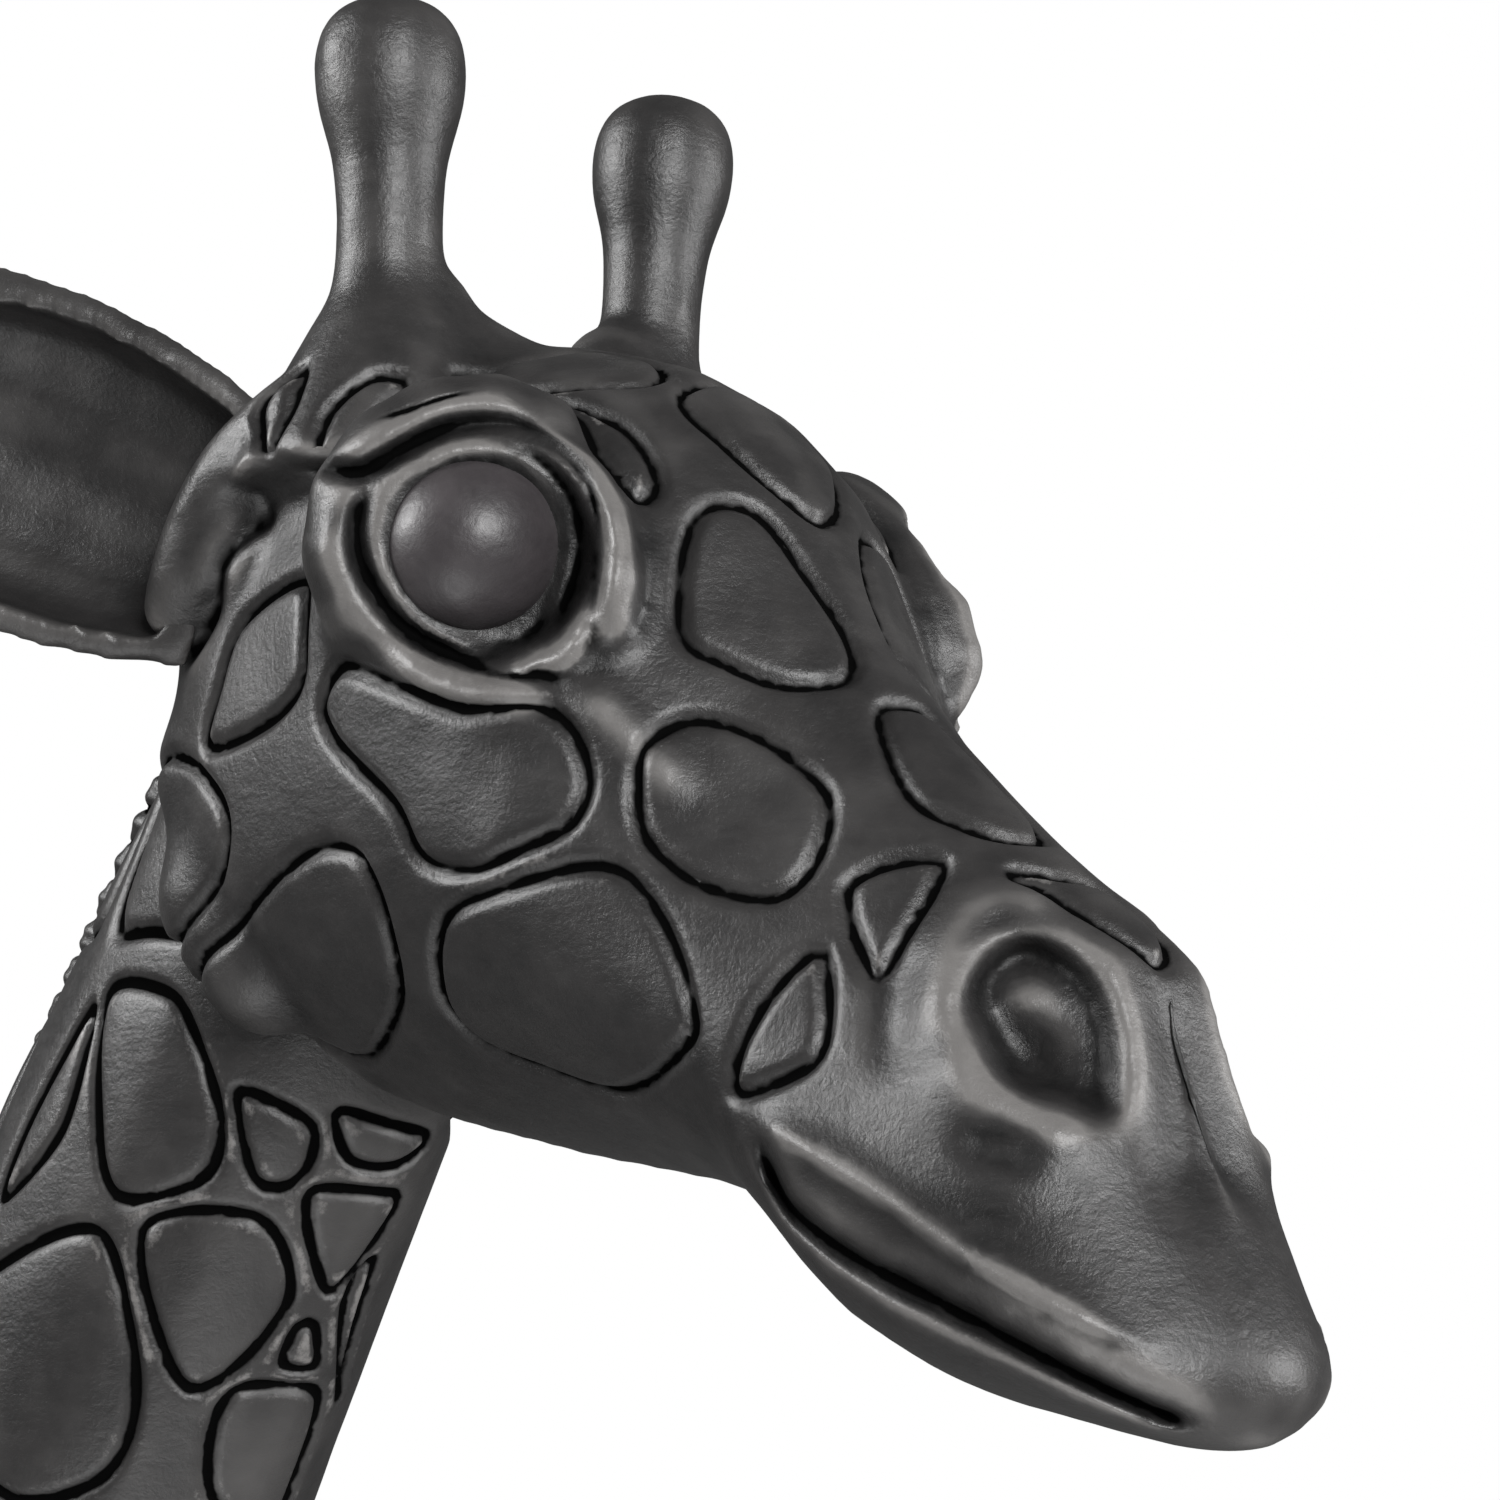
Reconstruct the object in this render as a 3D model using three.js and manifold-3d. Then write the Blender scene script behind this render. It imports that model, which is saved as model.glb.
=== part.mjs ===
// A standing giraffe, carved in dark hardwood in sections and pegged together on a plinth.
// Millimetres, +Z up, the animal faces -Y, and the origin is the centre of the underside.
import * as THREE from "three";
import { LoftGeometry } from "three/addons/geometries/LoftGeometry.js";
import { mergeVertices } from "three/addons/utils/BufferGeometryUtils.js";
import Module from "manifold-3d";

const wasm = await Module();
wasm.setup();

// ---------- driving dimensions ----------

const GAP = 0.3; // glue gap between any two pieces

const FELT = { thick: 2, inset: 6 };
const PLINTH = { width: 250, length: 570, thick: 32, corner: 46, bevel: 4 };
const SCREW = { shank: 2.6, head: 5.4, headThick: 3.5, length: 60, recess: 9 };
const LEG = { length: 586, foreWidth: 62, hindWidth: 62, foreSet: 72, hindSet: 82 };
const LEG_DOWEL = { radius: 8, length: 70 };
const TRUNK = { length: 474, halfWidth: 84, midHeight: 136, aboveJoint: 150, backEnd: 260 };
const NECK = { length: 520, baseSet: 74, baseRise: 176, topHalfWidth: 26, topHalfDepth: 33 };
const NECK_DOWEL = { radius: 9, length: 96, spacing: 62 };
const HEAD = { length: 216, pitch: 33.2, neckForward: -46, neckUp: -50 };
const HEAD_DOWEL = { radius: 8, length: 70 };
const EYE = { radius: 11.5, forward: -2, side: 34, up: 1.5, opening: 12.5 };
const EYE_TOWARD = [0.62, 0.74, 0.2]; // forward, side, up: the way that the right eye looks
const EYE_OPENING_SET = 1.15; // how far out the lids' hollow is centred, in its own radii
const NOSTRIL = { at: [104, 20, -13], size: [9, 6, 6] };
const HORN = { shaft: 7.6, knob: 10.8, length: 38.5, peg: 4.2, pegLength: 18, splay: 3.2, lean: 2.6 };
const HORN_BASE = { side: 24, back: 33, up: 51, flare: 23, depth: 32 };
const EAR = { length: 94, half: 24.5, deep: 16, back: 3, wall: 3.8, peg: 5.5, pegLength: 20 };
const THINNEST = 0.6; // half thickness where an ear runs out to its tip
const MANE = { half: 4.4, proudTop: 15, proudLow: 6, sunk: 7, lowEnd: 70 };
const TAIL = { length: 400, rise: 56, root: 9, thin: 5, tuft: 12.5 };

const DARK_WOOD = { color: 0x2b2a2a, roughness: 0.45, metalness: 0.0 };
const POLISHED_BLACK = { color: 0x353233, roughness: 0.25, metalness: 0.0 };
const BEECH = { color: 0xa9825a, roughness: 0.7, metalness: 0.0 };
const STEEL = { color: 0x8d8f92, roughness: 0.35, metalness: 0.9 };
const FELT_CLOTH = { color: 0x1c1d1c, roughness: 0.95, metalness: 0.0 };

// ---------- shared shape helpers ----------

const X = new THREE.Vector3(1, 0, 0);
const Z = new THREE.Vector3(0, 0, 1);
const statue = new THREE.Group();

// A closed geometry, placed by a matrix, as a solid that can be joined and cut.
function solidOf(geometry, matrix = new THREE.Matrix4()) {
  const placed = geometry.index ? geometry.toNonIndexed() : geometry.clone();
  placed.deleteAttribute("normal");
  placed.deleteAttribute("uv");
  placed.applyMatrix4(matrix);
  const merged = mergeVertices(placed, 1e-4);
  return new wasm.Manifold(
    new wasm.Mesh({
      numProp: 3,
      vertProperties: new Float32Array(merged.attributes.position.array),
      triVerts: new Uint32Array(merged.index.array),
    }),
  );
}

function addPiece(name, solid, finish) {
  const made = solid.getMesh();
  const geometry = new THREE.BufferGeometry();
  geometry.setAttribute("position", new THREE.Float32BufferAttribute(made.vertProperties, 3));
  geometry.setIndex(new THREE.Uint32BufferAttribute(made.triVerts, 1));
  geometry.computeVertexNormals();
  const mesh = new THREE.Mesh(geometry, new THREE.MeshStandardMaterial(finish));
  mesh.name = name;
  statue.add(mesh);
}

// Smooth curves through matching points of a few rings, read off as many finer rings.
function refineRings(rings, count) {
  const lines = rings[0].map((_, i) => new THREE.CatmullRomCurve3(rings.map((ring) => ring[i])));
  return Array.from({ length: count + 1 }, (_, k) => lines.map((line) => line.getPoint(k / count)));
}

function loft(rings) {
  return new LoftGeometry(rings, { closed: true, capStart: true, capEnd: true });
}

// A round limb whose middle line lies beside the animal's centre plane.
// Each knot is { at: [x, y, z], wide, deep }, and grow swells it to cut a hole that clears it.
function limb(knots, { around, rings, grow = 0 }) {
  const path = new THREE.CatmullRomCurve3(knots.map((knot) => new THREE.Vector3(...knot.at)));
  const sections = knots.map((knot, k) => {
    const tangent = path.getTangent(k / (knots.length - 1));
    const deepAxis = new THREE.Vector3().crossVectors(tangent, X).normalize();
    return Array.from({ length: around }, (_, i) => {
      const turn = (i / around) * 2 * Math.PI;
      return new THREE.Vector3(...knot.at)
        .addScaledVector(X, (knot.wide + grow) * Math.cos(turn))
        .addScaledVector(deepAxis, (knot.deep + grow) * Math.sin(turn));
    });
  });
  return solidOf(loft(refineRings(sections, rings)));
}

// Everything on the side that a direction points to, from a point on: a big block to cut with.
function halfSpace(point, direction) {
  const size = 2400;
  const turn = new THREE.Quaternion().setFromUnitVectors(Z, direction.clone().normalize());
  const centre = point.clone().addScaledVector(direction.clone().normalize(), size / 2);
  const place = new THREE.Matrix4().compose(centre, turn, new THREE.Vector3(1, 1, 1));
  return solidOf(new THREE.BoxGeometry(size, size, size), place);
}

// A straight round pin centred on a point, along a direction.
function pin(point, direction, radius, length, around = 12) {
  const turn = new THREE.Quaternion().setFromUnitVectors(
    new THREE.Vector3(0, 1, 0),
    direction.clone().normalize(),
  );
  const place = new THREE.Matrix4().compose(point, turn, new THREE.Vector3(1, 1, 1));
  return solidOf(new THREE.CylinderGeometry(radius, radius, length, around), place);
}

// A dowel and the hole that clears it by the glue gap all over.
function dowel(name, point, direction, { radius, length }) {
  addPiece(name, pin(point, direction, radius, length), BEECH);
  return pin(point, direction, radius + GAP, length + 2 * GAP);
}

const SIDES = [
  { side: "right", sign: -1 },
  { side: "left", sign: 1 },
];

// ---------- plinth, with a felt sheet under it ----------

const plinthBottom = FELT.thick + GAP;
const plinthTop = plinthBottom + PLINTH.thick;
const ground = plinthTop + GAP; // the level that the hooves stand on

function roundedSlab(width, length, corner, thick, bevel, bottom) {
  const [w, l, r] = [width / 2 - bevel, length / 2 - bevel, corner - bevel];
  const outline = new THREE.Shape();
  outline.absarc(w - r, l - r, r, 0, Math.PI / 2);
  outline.absarc(-w + r, l - r, r, Math.PI / 2, Math.PI);
  outline.absarc(-w + r, -l + r, r, Math.PI, 1.5 * Math.PI);
  outline.absarc(w - r, -l + r, r, 1.5 * Math.PI, 2 * Math.PI);
  const slab = new THREE.ExtrudeGeometry(outline, {
    depth: thick - 2 * bevel,
    bevelEnabled: bevel > 0,
    bevelSize: bevel,
    bevelThickness: bevel,
    bevelSegments: 2,
    curveSegments: 5,
  });
  return solidOf(slab, new THREE.Matrix4().makeTranslation(0, 0, bottom + bevel));
}

const felt = roundedSlab(
  PLINTH.width - 2 * FELT.inset,
  PLINTH.length - 2 * FELT.inset,
  PLINTH.corner - FELT.inset,
  FELT.thick,
  0,
  0,
);
addPiece("felt_base", felt, FELT_CLOTH);
let plinth = roundedSlab(
  PLINTH.width,
  PLINTH.length,
  PLINTH.corner,
  PLINTH.thick,
  PLINTH.bevel,
  plinthBottom,
);

// ---------- legs: hoof at the foot, muscle at the top, a dowel up into the trunk ----------

const legJoint = ground + LEG.length;
const trunkFront = TRUNK.backEnd - TRUNK.length;
const trunkMiddle = legJoint + TRUNK.aboveJoint;

// [share of the leg's length above the sole, set forward or back, half width, half depth, set in]
// Shares above 1 lie inside the trunk, and keep its size when the legs are made longer.
const LEG_TABLE = 586;
const FORE_LEG = [
  [-0.03, -12, 20, 27],
  [0, -10, 19.5, 26],
  [0.05, -4, 17, 20],
  [0.072, 0, 13.5, 15],
  [0.11, 4, 15.5, 18],
  [0.16, 4, 12.6, 14.4],
  [0.32, 2, 12.6, 14.5],
  [0.45, 0, 15.5, 17.5],
  [0.51, -2, 18.4, 21],
  [0.57, 0, 17.2, 20],
  [0.72, 3, 20, 26],
  [0.88, 7, 26, 38],
  [1, 10, 31, 50],
  [1.15, 14, 34, 62, 3],
  [1.3, 26, 33, 62, 11],
  [1.42, 36, 20, 44, 16],
  [1.46, 40, 8, 18, 18],
];
const HIND_LEG = [
  [-0.03, -14, 20, 27],
  [0, -12, 19.5, 26],
  [0.05, -6, 17, 20],
  [0.072, -1, 13.5, 15],
  [0.11, 4, 15.5, 18],
  [0.16, 6, 12.6, 14.4],
  [0.34, 12, 12.8, 15.5],
  [0.5, 20, 14.6, 20],
  [0.57, 22, 17, 25],
  [0.63, 16, 17.4, 25],
  [0.76, 5, 22, 34],
  [0.9, 0, 30, 52],
  [1, -2, 35, 63],
  [1.14, -6, 38, 70, 4],
  [1.28, -12, 36, 69, 12],
  [1.39, -18, 22, 48, 18],
  [1.43, -20, 8, 20, 20],
];

function legHeight(share) {
  return share > 1 ? legJoint + (share - 1) * LEG_TABLE : ground + share * LEG.length;
}

function legSolid(profile, x, y) {
  const knots = profile.map(([share, set, wide, deep, inward = 0]) => ({
    at: [x - Math.sign(x) * inward, y + set, legHeight(share)],
    wide,
    deep,
  }));
  const floor = new THREE.Vector3(0, 0, ground);
  return limb(knots, { around: 14, rings: 20 }).intersect(halfSpace(floor, Z));
}

const legs = SIDES.flatMap(({ side, sign }) => [
  { name: `front_${side}`, x: sign * LEG.foreWidth, y: trunkFront + LEG.foreSet, profile: FORE_LEG },
  { name: `back_${side}`, x: sign * LEG.hindWidth, y: TRUNK.backEnd - LEG.hindSet, profile: HIND_LEG },
]);

// A countersunk wood screw, driven up through the plinth into the hoof.
function screwSolid(x, y, grow, headDown) {
  const head = plinthBottom + SCREW.recess;
  const profile = [
    new THREE.Vector2(0, -grow - headDown),
    new THREE.Vector2(SCREW.head + grow, -grow - headDown),
    new THREE.Vector2(SCREW.head + grow, SCREW.headThick * 0.3 + grow),
    new THREE.Vector2(SCREW.shank + grow, SCREW.headThick + grow),
    new THREE.Vector2(SCREW.shank + grow, SCREW.length - 3 * SCREW.shank),
    new THREE.Vector2(0, SCREW.length + grow),
  ];
  const turned = new THREE.LatheGeometry(profile, 12);
  turned.rotateX(Math.PI / 2);
  return solidOf(turned, new THREE.Matrix4().makeTranslation(x, y, head));
}

const legTops = [];
for (const leg of legs) {
  const whole = legSolid(leg.profile, leg.x, leg.y);
  const topSet = leg.profile.find(([share]) => share === 1)[1];
  const topCentre = new THREE.Vector3(leg.x, leg.y + topSet, legJoint);
  const hole = dowel(`dowel_${leg.name}`, topCentre, Z, LEG_DOWEL);
  legTops.push({ stub: whole.intersect(halfSpace(topCentre, Z)), hole });
  const sole = leg.profile[0][1];
  addPiece(`screw_${leg.name}`, screwSolid(leg.x, leg.y + sole, 0, 0), STEEL);
  const screwHole = screwSolid(leg.x, leg.y + sole, GAP, SCREW.recess + 1);
  plinth = plinth.subtract(screwHole);
  const below = halfSpace(topCentre.clone().addScaledVector(Z, -GAP), Z.clone().negate());
  addPiece(`leg_${leg.name}`, whole.intersect(below).subtract(hole).subtract(screwHole), DARK_WOOD);
}
addPiece("plinth", plinth, DARK_WOOD);

// ---------- neck: one long loft, cut square where it meets the trunk and the head ----------

// [share of the neck's length, lean forward of upright in degrees, half width, half depth]
const NECK_SHAPE = [
  [-0.3, 44, 62, 112],
  [-0.14, 42, 55, 98],
  [0, 38, 49, 82],
  [0.15, 33, 43, 67],
  [0.32, 29, 38.5, 56],
  [0.5, 27, 35, 48.5],
  [0.68, 31, 32.5, 43],
  [0.84, 36, 29.5, 38.5],
  [1, 37, NECK.topHalfWidth, NECK.topHalfDepth],
  [1.08, 37, NECK.topHalfWidth, NECK.topHalfDepth],
];

// The neck's middle line, walked in short steps from its base at the trunk joint.
function neckPoint(share) {
  const steps = 24;
  const point = new THREE.Vector3(0, trunkFront + NECK.baseSet, trunkMiddle + NECK.baseRise);
  for (let k = 0; k < steps; k++) {
    const lean = THREE.MathUtils.degToRad(neckValue((share * (k + 0.5)) / steps, 1));
    const step = (share * NECK.length) / steps;
    point.y -= Math.sin(lean) * step;
    point.z += Math.cos(lean) * step;
  }
  return point;
}

function neckValue(share, column) {
  const last = NECK_SHAPE.length - 2;
  const k = Math.max(0, Math.min(last, NECK_SHAPE.findIndex((row) => row[0] > share) - 1));
  const [low, high] = [NECK_SHAPE[k], NECK_SHAPE[k + 1]];
  return THREE.MathUtils.mapLinear(share, low[0], high[0], low[column], high[column]);
}

function neckAxis(share) {
  const lean = THREE.MathUtils.degToRad(neckValue(share, 1));
  return new THREE.Vector3(0, -Math.sin(lean), Math.cos(lean));
}

function neckSolid(grow = 0) {
  const knots = NECK_SHAPE.map(([share, , wide, deep]) => ({
    at: neckPoint(share).toArray(),
    wide,
    deep,
  }));
  return limb(knots, { around: 20, rings: 20, grow });
}

const neckBase = neckPoint(0);
const neckTop = neckPoint(1);
const neckBaseAxis = neckAxis(0);
const neckTopAxis = neckAxis(1);
const neckWhole = neckSolid();

// ---------- mane: a thin upright strip let into a groove down the back of the neck ----------

function maneSolid(grow, reach) {
  const count = 14;
  const start = MANE.lowEnd / NECK.length;
  const rings = Array.from({ length: count + 1 }, (_, k) => {
    const share = start + ((1 + reach - start) * k) / count;
    const axis = neckAxis(share);
    const backward = new THREE.Vector3(0, axis.z, -axis.y);
    const skin = neckPoint(share).addScaledVector(backward, neckValue(share, 3));
    const ends = Math.min(1, (4 * k) / count);
    const proud = THREE.MathUtils.lerp(MANE.proudLow, MANE.proudTop, k / count) * ends;
    const outer = proud + grow;
    const inner = -MANE.sunk - grow;
    const half = MANE.half + grow;
    const corner = (x, out) => skin.clone().addScaledVector(X, x).addScaledVector(backward, out);
    return [
      corner(half, inner),
      corner(half, outer - half * 0.6),
      corner(half * 0.45, outer),
      corner(-half * 0.45, outer),
      corner(-half, outer - half * 0.6),
      corner(-half, inner),
    ];
  });
  return solidOf(loft(rings));
}

const neckTopPlane = neckTop.clone().addScaledVector(neckTopAxis, -GAP);
const belowHead = halfSpace(neckTopPlane, neckTopAxis.clone().negate());
const mane = maneSolid(0, 0.02).intersect(belowHead);
const headHole = dowel("dowel_head", neckTop, neckTopAxis, HEAD_DOWEL);
const neckHoles = [-1, 1].map((end) => {
  const backward = new THREE.Vector3(0, neckBaseAxis.z, -neckBaseAxis.y);
  const centre = neckBase.clone().addScaledVector(backward, (end * NECK_DOWEL.spacing) / 2);
  return dowel(`dowel_neck_${end < 0 ? "front" : "back"}`, centre, neckBaseAxis, NECK_DOWEL);
});

const aboveTrunk = halfSpace(neckBase.clone().addScaledVector(neckBaseAxis, GAP), neckBaseAxis);
let neck = neckWhole.intersect(aboveTrunk).intersect(belowHead);
neck = neck.subtract(maneSolid(GAP, 0.05)).subtract(headHole);
for (const hole of neckHoles) neck = neck.subtract(hole);
addPiece("neck", neck, DARK_WOOD);
addPiece("mane", mane, DARK_WOOD);

// ---------- trunk: barrel with the shoulder, haunch and neck roots carved on it ----------

// [share of the trunk's length from the rump, rise of the middle, width share, height share]
const BARREL = [
  [0, 24, 0.16, 0.2],
  [0.04, 22, 0.46, 0.46],
  [0.13, 18, 0.76, 0.68],
  [0.27, 12, 0.93, 0.84],
  [0.44, 6, 1, 0.95],
  [0.6, 6, 1, 1.02],
  [0.76, 14, 0.94, 1.05],
  [0.88, 22, 0.84, 0.96],
  [0.96, 30, 0.62, 0.74],
  [1, 36, 0.3, 0.36],
];

function barrelSolid() {
  const around = 20;
  const sections = BARREL.map(([share, rise, wide, high]) =>
    Array.from({ length: around }, (_, i) => {
      const turn = (i / around) * 2 * Math.PI;
      return new THREE.Vector3(
        TRUNK.halfWidth * wide * Math.cos(turn),
        TRUNK.backEnd - share * TRUNK.length,
        trunkMiddle + rise + TRUNK.midHeight * high * Math.sin(turn),
      );
    }),
  );
  return solidOf(loft(refineRings(sections, 14)));
}

let trunk = barrelSolid().add(
  neckWhole.intersect(halfSpace(neckBase, neckBaseAxis.clone().negate())),
);
for (const { stub } of legTops) trunk = trunk.add(stub);
for (const { hole } of legTops) trunk = trunk.subtract(hole);
for (const hole of neckHoles) trunk = trunk.subtract(hole);

// ---------- tail: hangs clear of the haunches, with a carved tuft, pegged into the rump ----------

const rump = new THREE.Vector3(0, TRUNK.backEnd, trunkMiddle + TAIL.rise);

function tailSolid(grow) {
  const down = (share) => rump.z - share * TAIL.length;
  const knots = [
    { at: [0, rump.y - 26, down(-0.03)], wide: TAIL.root, deep: TAIL.root },
    { at: [0, rump.y - 4, down(-0.01)], wide: TAIL.root, deep: TAIL.root },
    { at: [0, rump.y + 14, down(0.05)], wide: TAIL.root * 0.85, deep: TAIL.root * 0.9 },
    { at: [0, rump.y + 20, down(0.2)], wide: TAIL.thin * 1.2, deep: TAIL.thin * 1.2 },
    { at: [0, rump.y + 16, down(0.45)], wide: TAIL.thin, deep: TAIL.thin },
    { at: [0, rump.y + 14, down(0.62)], wide: TAIL.thin * 1.2, deep: TAIL.thin * 1.2 },
    { at: [0, rump.y + 15, down(0.78)], wide: TAIL.tuft, deep: TAIL.tuft },
    { at: [0, rump.y + 17, down(0.92)], wide: TAIL.tuft * 0.8, deep: TAIL.tuft * 0.8 },
    { at: [0, rump.y + 18, down(1)], wide: TAIL.tuft * 0.2, deep: TAIL.tuft * 0.2 },
  ];
  return limb(knots, { around: 10, rings: 16, grow });
}

trunk = trunk.subtract(tailSolid(GAP));
addPiece("trunk", trunk, DARK_WOOD);
addPiece("tail", tailSolid(0), DARK_WOOD);

// ---------- head ----------

// The head's own frame has its middle between the eyes. It is built there at HEAD.length long,
// forward along -Y and up along +Z, and then tipped nose down on to the top of the neck.
const HEAD_MODEL = 216; // length that the head's section table below is written for
const unit = HEAD.length / HEAD_MODEL;
const tip = new THREE.Matrix4().makeRotationX(THREE.MathUtils.degToRad(HEAD.pitch));
const neckSeat = new THREE.Vector3(0, -HEAD.neckForward * unit, HEAD.neckUp * unit);
const headAt = neckTop.clone().sub(neckSeat.applyMatrix4(tip));
const headPlace = new THREE.Matrix4().makeTranslation(headAt).multiply(tip);

// A point of the head given as forward, side, up.
function headPoint(forward, side, up) {
  return new THREE.Vector3(side * unit, -forward * unit, up * unit);
}

// Sections from the back of the skull to the lip: how far forward, the top line, the bottom line,
// and the half widths at the shares of the height in WIDTH_AT.
const WIDTH_AT = [0.05, 0.2, 0.35, 0.5, 0.65, 0.8, 0.95];
const HEAD_SECTIONS = [
  [-74, -14, -40, [5, 9, 11, 11, 10, 8, 5]],
  [-69, 0, -50, [9, 19, 24, 25, 24, 20, 10]],
  [-59, 12, -58, [12, 26, 31, 33, 32, 29, 15]],
  [-44, 22, -70, [15, 30, 35, 37, 37, 34, 20]],
  [-30, 26, -80, [17, 33, 38, 38.5, 37.5, 34, 19]],
  [-16, 29, -82, [18, 35, 41, 40, 38, 33, 16]],
  [0, 29, -78, [18, 37, 43, 41, 38, 31, 13]],
  [14, 24, -73, [16, 34, 40, 40, 37, 29, 11]],
  [28, 15.5, -68, [13, 28, 35, 37.5, 35, 27, 10]],
  [45, 8, -61, [10, 21, 28, 31.5, 31, 24, 10]],
  [62, 4, -55, [9, 17, 23, 27, 28, 23, 12]],
  [78, 1.5, -54, [8, 16, 21, 24.5, 27, 26, 17]],
  [90, 0, -56, [9, 18, 22.5, 25, 27, 26, 17]],
  [99, -2, -56, [10, 19, 23, 25, 26, 25, 15]],
  [107, -8, -55, [10, 18, 21.5, 24, 25, 23.5, 13]],
  [117, -17, -51.5, [9, 15.5, 20, 22.5, 23, 20, 11]],
  [128, -25, -47.5, [8, 13, 17, 19, 19, 16, 8]],
  [135, -29, -44.5, [6, 10, 13, 14.5, 14, 11, 5]],
  [139.5, -33, -41, [2, 3, 4, 4, 3.5, 3, 1]],
];

function headSkin(grow) {
  const sections = HEAD_SECTIONS.map(([forward, top, bottom, widths], k) => {
    const end = k === 0 ? -grow : k === HEAD_SECTIONS.length - 1 ? grow : 0;
    const point = (side, up) => headPoint(forward, side, up).add(new THREE.Vector3(0, -end, 0));
    const high = top + grow;
    const low = bottom - grow;
    const flank = widths.map((wide, i) => [wide + grow, high + (low - high) * WIDTH_AT[i]]);
    const right = flank.map(([wide, up]) => point(wide, up)).reverse();
    const left = flank.map(([wide, up]) => point(-wide, up));
    const outline = [point(0, low), ...right, point(0, high), ...left];
    const curve = new THREE.CatmullRomCurve3(outline, true);
    const around = 2 * outline.length;
    return Array.from({ length: around }, (_, i) => curve.getPoint(i / around));
  });
  return solidOf(loft(refineRings(sections, 25)), headPlace);
}

// An egg shape on the head, given by its middle and its three half lengths.
function egg(at, [long, wide, high], segments = 14) {
  const ball = new THREE.SphereGeometry(1, segments, Math.round(segments * 0.6));
  ball.rotateX(Math.PI / 2);
  ball.scale(wide * unit, long * unit, high * unit);
  const centre = headPoint(...at);
  return solidOf(ball, headPlace.clone().multiply(new THREE.Matrix4().makeTranslation(centre)));
}

// ---------- horns: a flared root on the skull, and a knobbed shaft pegged on it ----------

function hornFrame(sign) {
  const splay = THREE.MathUtils.degToRad(HORN.splay);
  const lean = THREE.MathUtils.degToRad(HORN.lean);
  const axis = new THREE.Vector3(sign * Math.tan(splay), -Math.tan(lean), 1).normalize();
  const foot = headAt.clone().add(
    new THREE.Vector3(sign * HORN_BASE.side, HORN_BASE.back, HORN_BASE.up).multiplyScalar(unit),
  );
  return { axis, foot };
}

// A profile of [radius, height] pairs turned about a horn's axis, from its foot.
function turnedOnHorn(sign, outline, around = 14) {
  const { axis, foot } = hornFrame(sign);
  const turned = new THREE.LatheGeometry(
    outline.map(([radius, high]) => new THREE.Vector2(radius, high)),
    around,
  );
  const turn = new THREE.Quaternion().setFromUnitVectors(new THREE.Vector3(0, 1, 0), axis);
  return solidOf(turned, new THREE.Matrix4().compose(foot, turn, new THREE.Vector3(1, 1, 1)));
}

const rootOutline = (grow) => [
  [0, -HORN_BASE.depth - grow],
  [HORN_BASE.flare + grow, -HORN_BASE.depth - grow],
  [HORN_BASE.flare * 0.76 + grow, -HORN_BASE.depth * 0.66],
  [HORN_BASE.flare * 0.54 + grow, -HORN_BASE.depth * 0.38],
  [HORN.shaft * 1.1 + grow, -HORN_BASE.depth * 0.15],
  [HORN.shaft + grow, grow],
  [0, grow],
];
const shaftOutline = [
  [0, GAP],
  [HORN.shaft, GAP],
  [HORN.shaft * 0.98, HORN.length * 0.2],
  [HORN.shaft * 1.06, HORN.length * 0.4],
  [HORN.knob * 0.96, HORN.length * 0.62],
  [HORN.knob, HORN.length * 0.76],
  [HORN.knob * 0.92, HORN.length * 0.88],
  [HORN.knob * 0.7, HORN.length * 0.96],
  [HORN.knob * 0.36, HORN.length],
  [0, HORN.length + 0.5],
];

// The solid head before anything is let into it: skull, brows over the eyes, and horn roots.
const BROW = { at: [-1, 31.5, 2], size: [27.5, 14, 17.5] };

function headMass(grow) {
  return SIDES.reduce((mass, { sign }) => {
    const at = [BROW.at[0], sign * BROW.at[1], BROW.at[2]];
    const brow = egg(at, BROW.size.map((half) => half + grow / unit));
    return mass.add(brow).add(turnedOnHorn(sign, rootOutline(grow)));
  }, headSkin(grow));
}

let head = headMass(0);
for (const { side, sign } of SIDES) {
  const { axis, foot } = hornFrame(sign);
  const peg = pin(foot, axis, HORN.peg, HORN.pegLength * 2);
  const hole = pin(foot, axis, HORN.peg + GAP, (HORN.pegLength + GAP) * 2);
  const below = halfSpace(foot.clone().addScaledVector(axis, HORN.shaft), axis.clone().negate());
  head = head.subtract(hole);
  addPiece(`horn_${side}`, turnedOnHorn(sign, shaftOutline).add(peg.intersect(below)), DARK_WOOD);
}

// ---------- ears: cupped leaves, pegged into the side of the skull ----------

const EAR_ROOT = [-51, 30, -19];
const EAR_TOWARD = [-0.66, 0.64, 0.4]; // right ear, from its root to its tip
const EAR_OPENS = [-0.735, -0.649, -0.173];
// [share of the length, half width share]
const EAR_LEAF = [
  [0, 0.66],
  [0.1, 0.82],
  [0.24, 0.95],
  [0.42, 1],
  [0.6, 0.9],
  [0.78, 0.62],
  [0.92, 0.3],
  [1, 0.06],
];

function earFrame(sign) {
  const along = new THREE.Vector3(...EAR_TOWARD).normalize();
  const opening = new THREE.Vector3(...EAR_OPENS);
  opening.addScaledVector(along, -opening.dot(along)).normalize();
  const across = new THREE.Vector3().crossVectors(opening, along);
  const root = headPoint(EAR_ROOT[0], -EAR_ROOT[1], EAR_ROOT[2]).applyMatrix4(headPlace);
  for (const v of [along, opening, across, root]) v.x *= -sign;
  return { along, opening, across, root };
}

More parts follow.
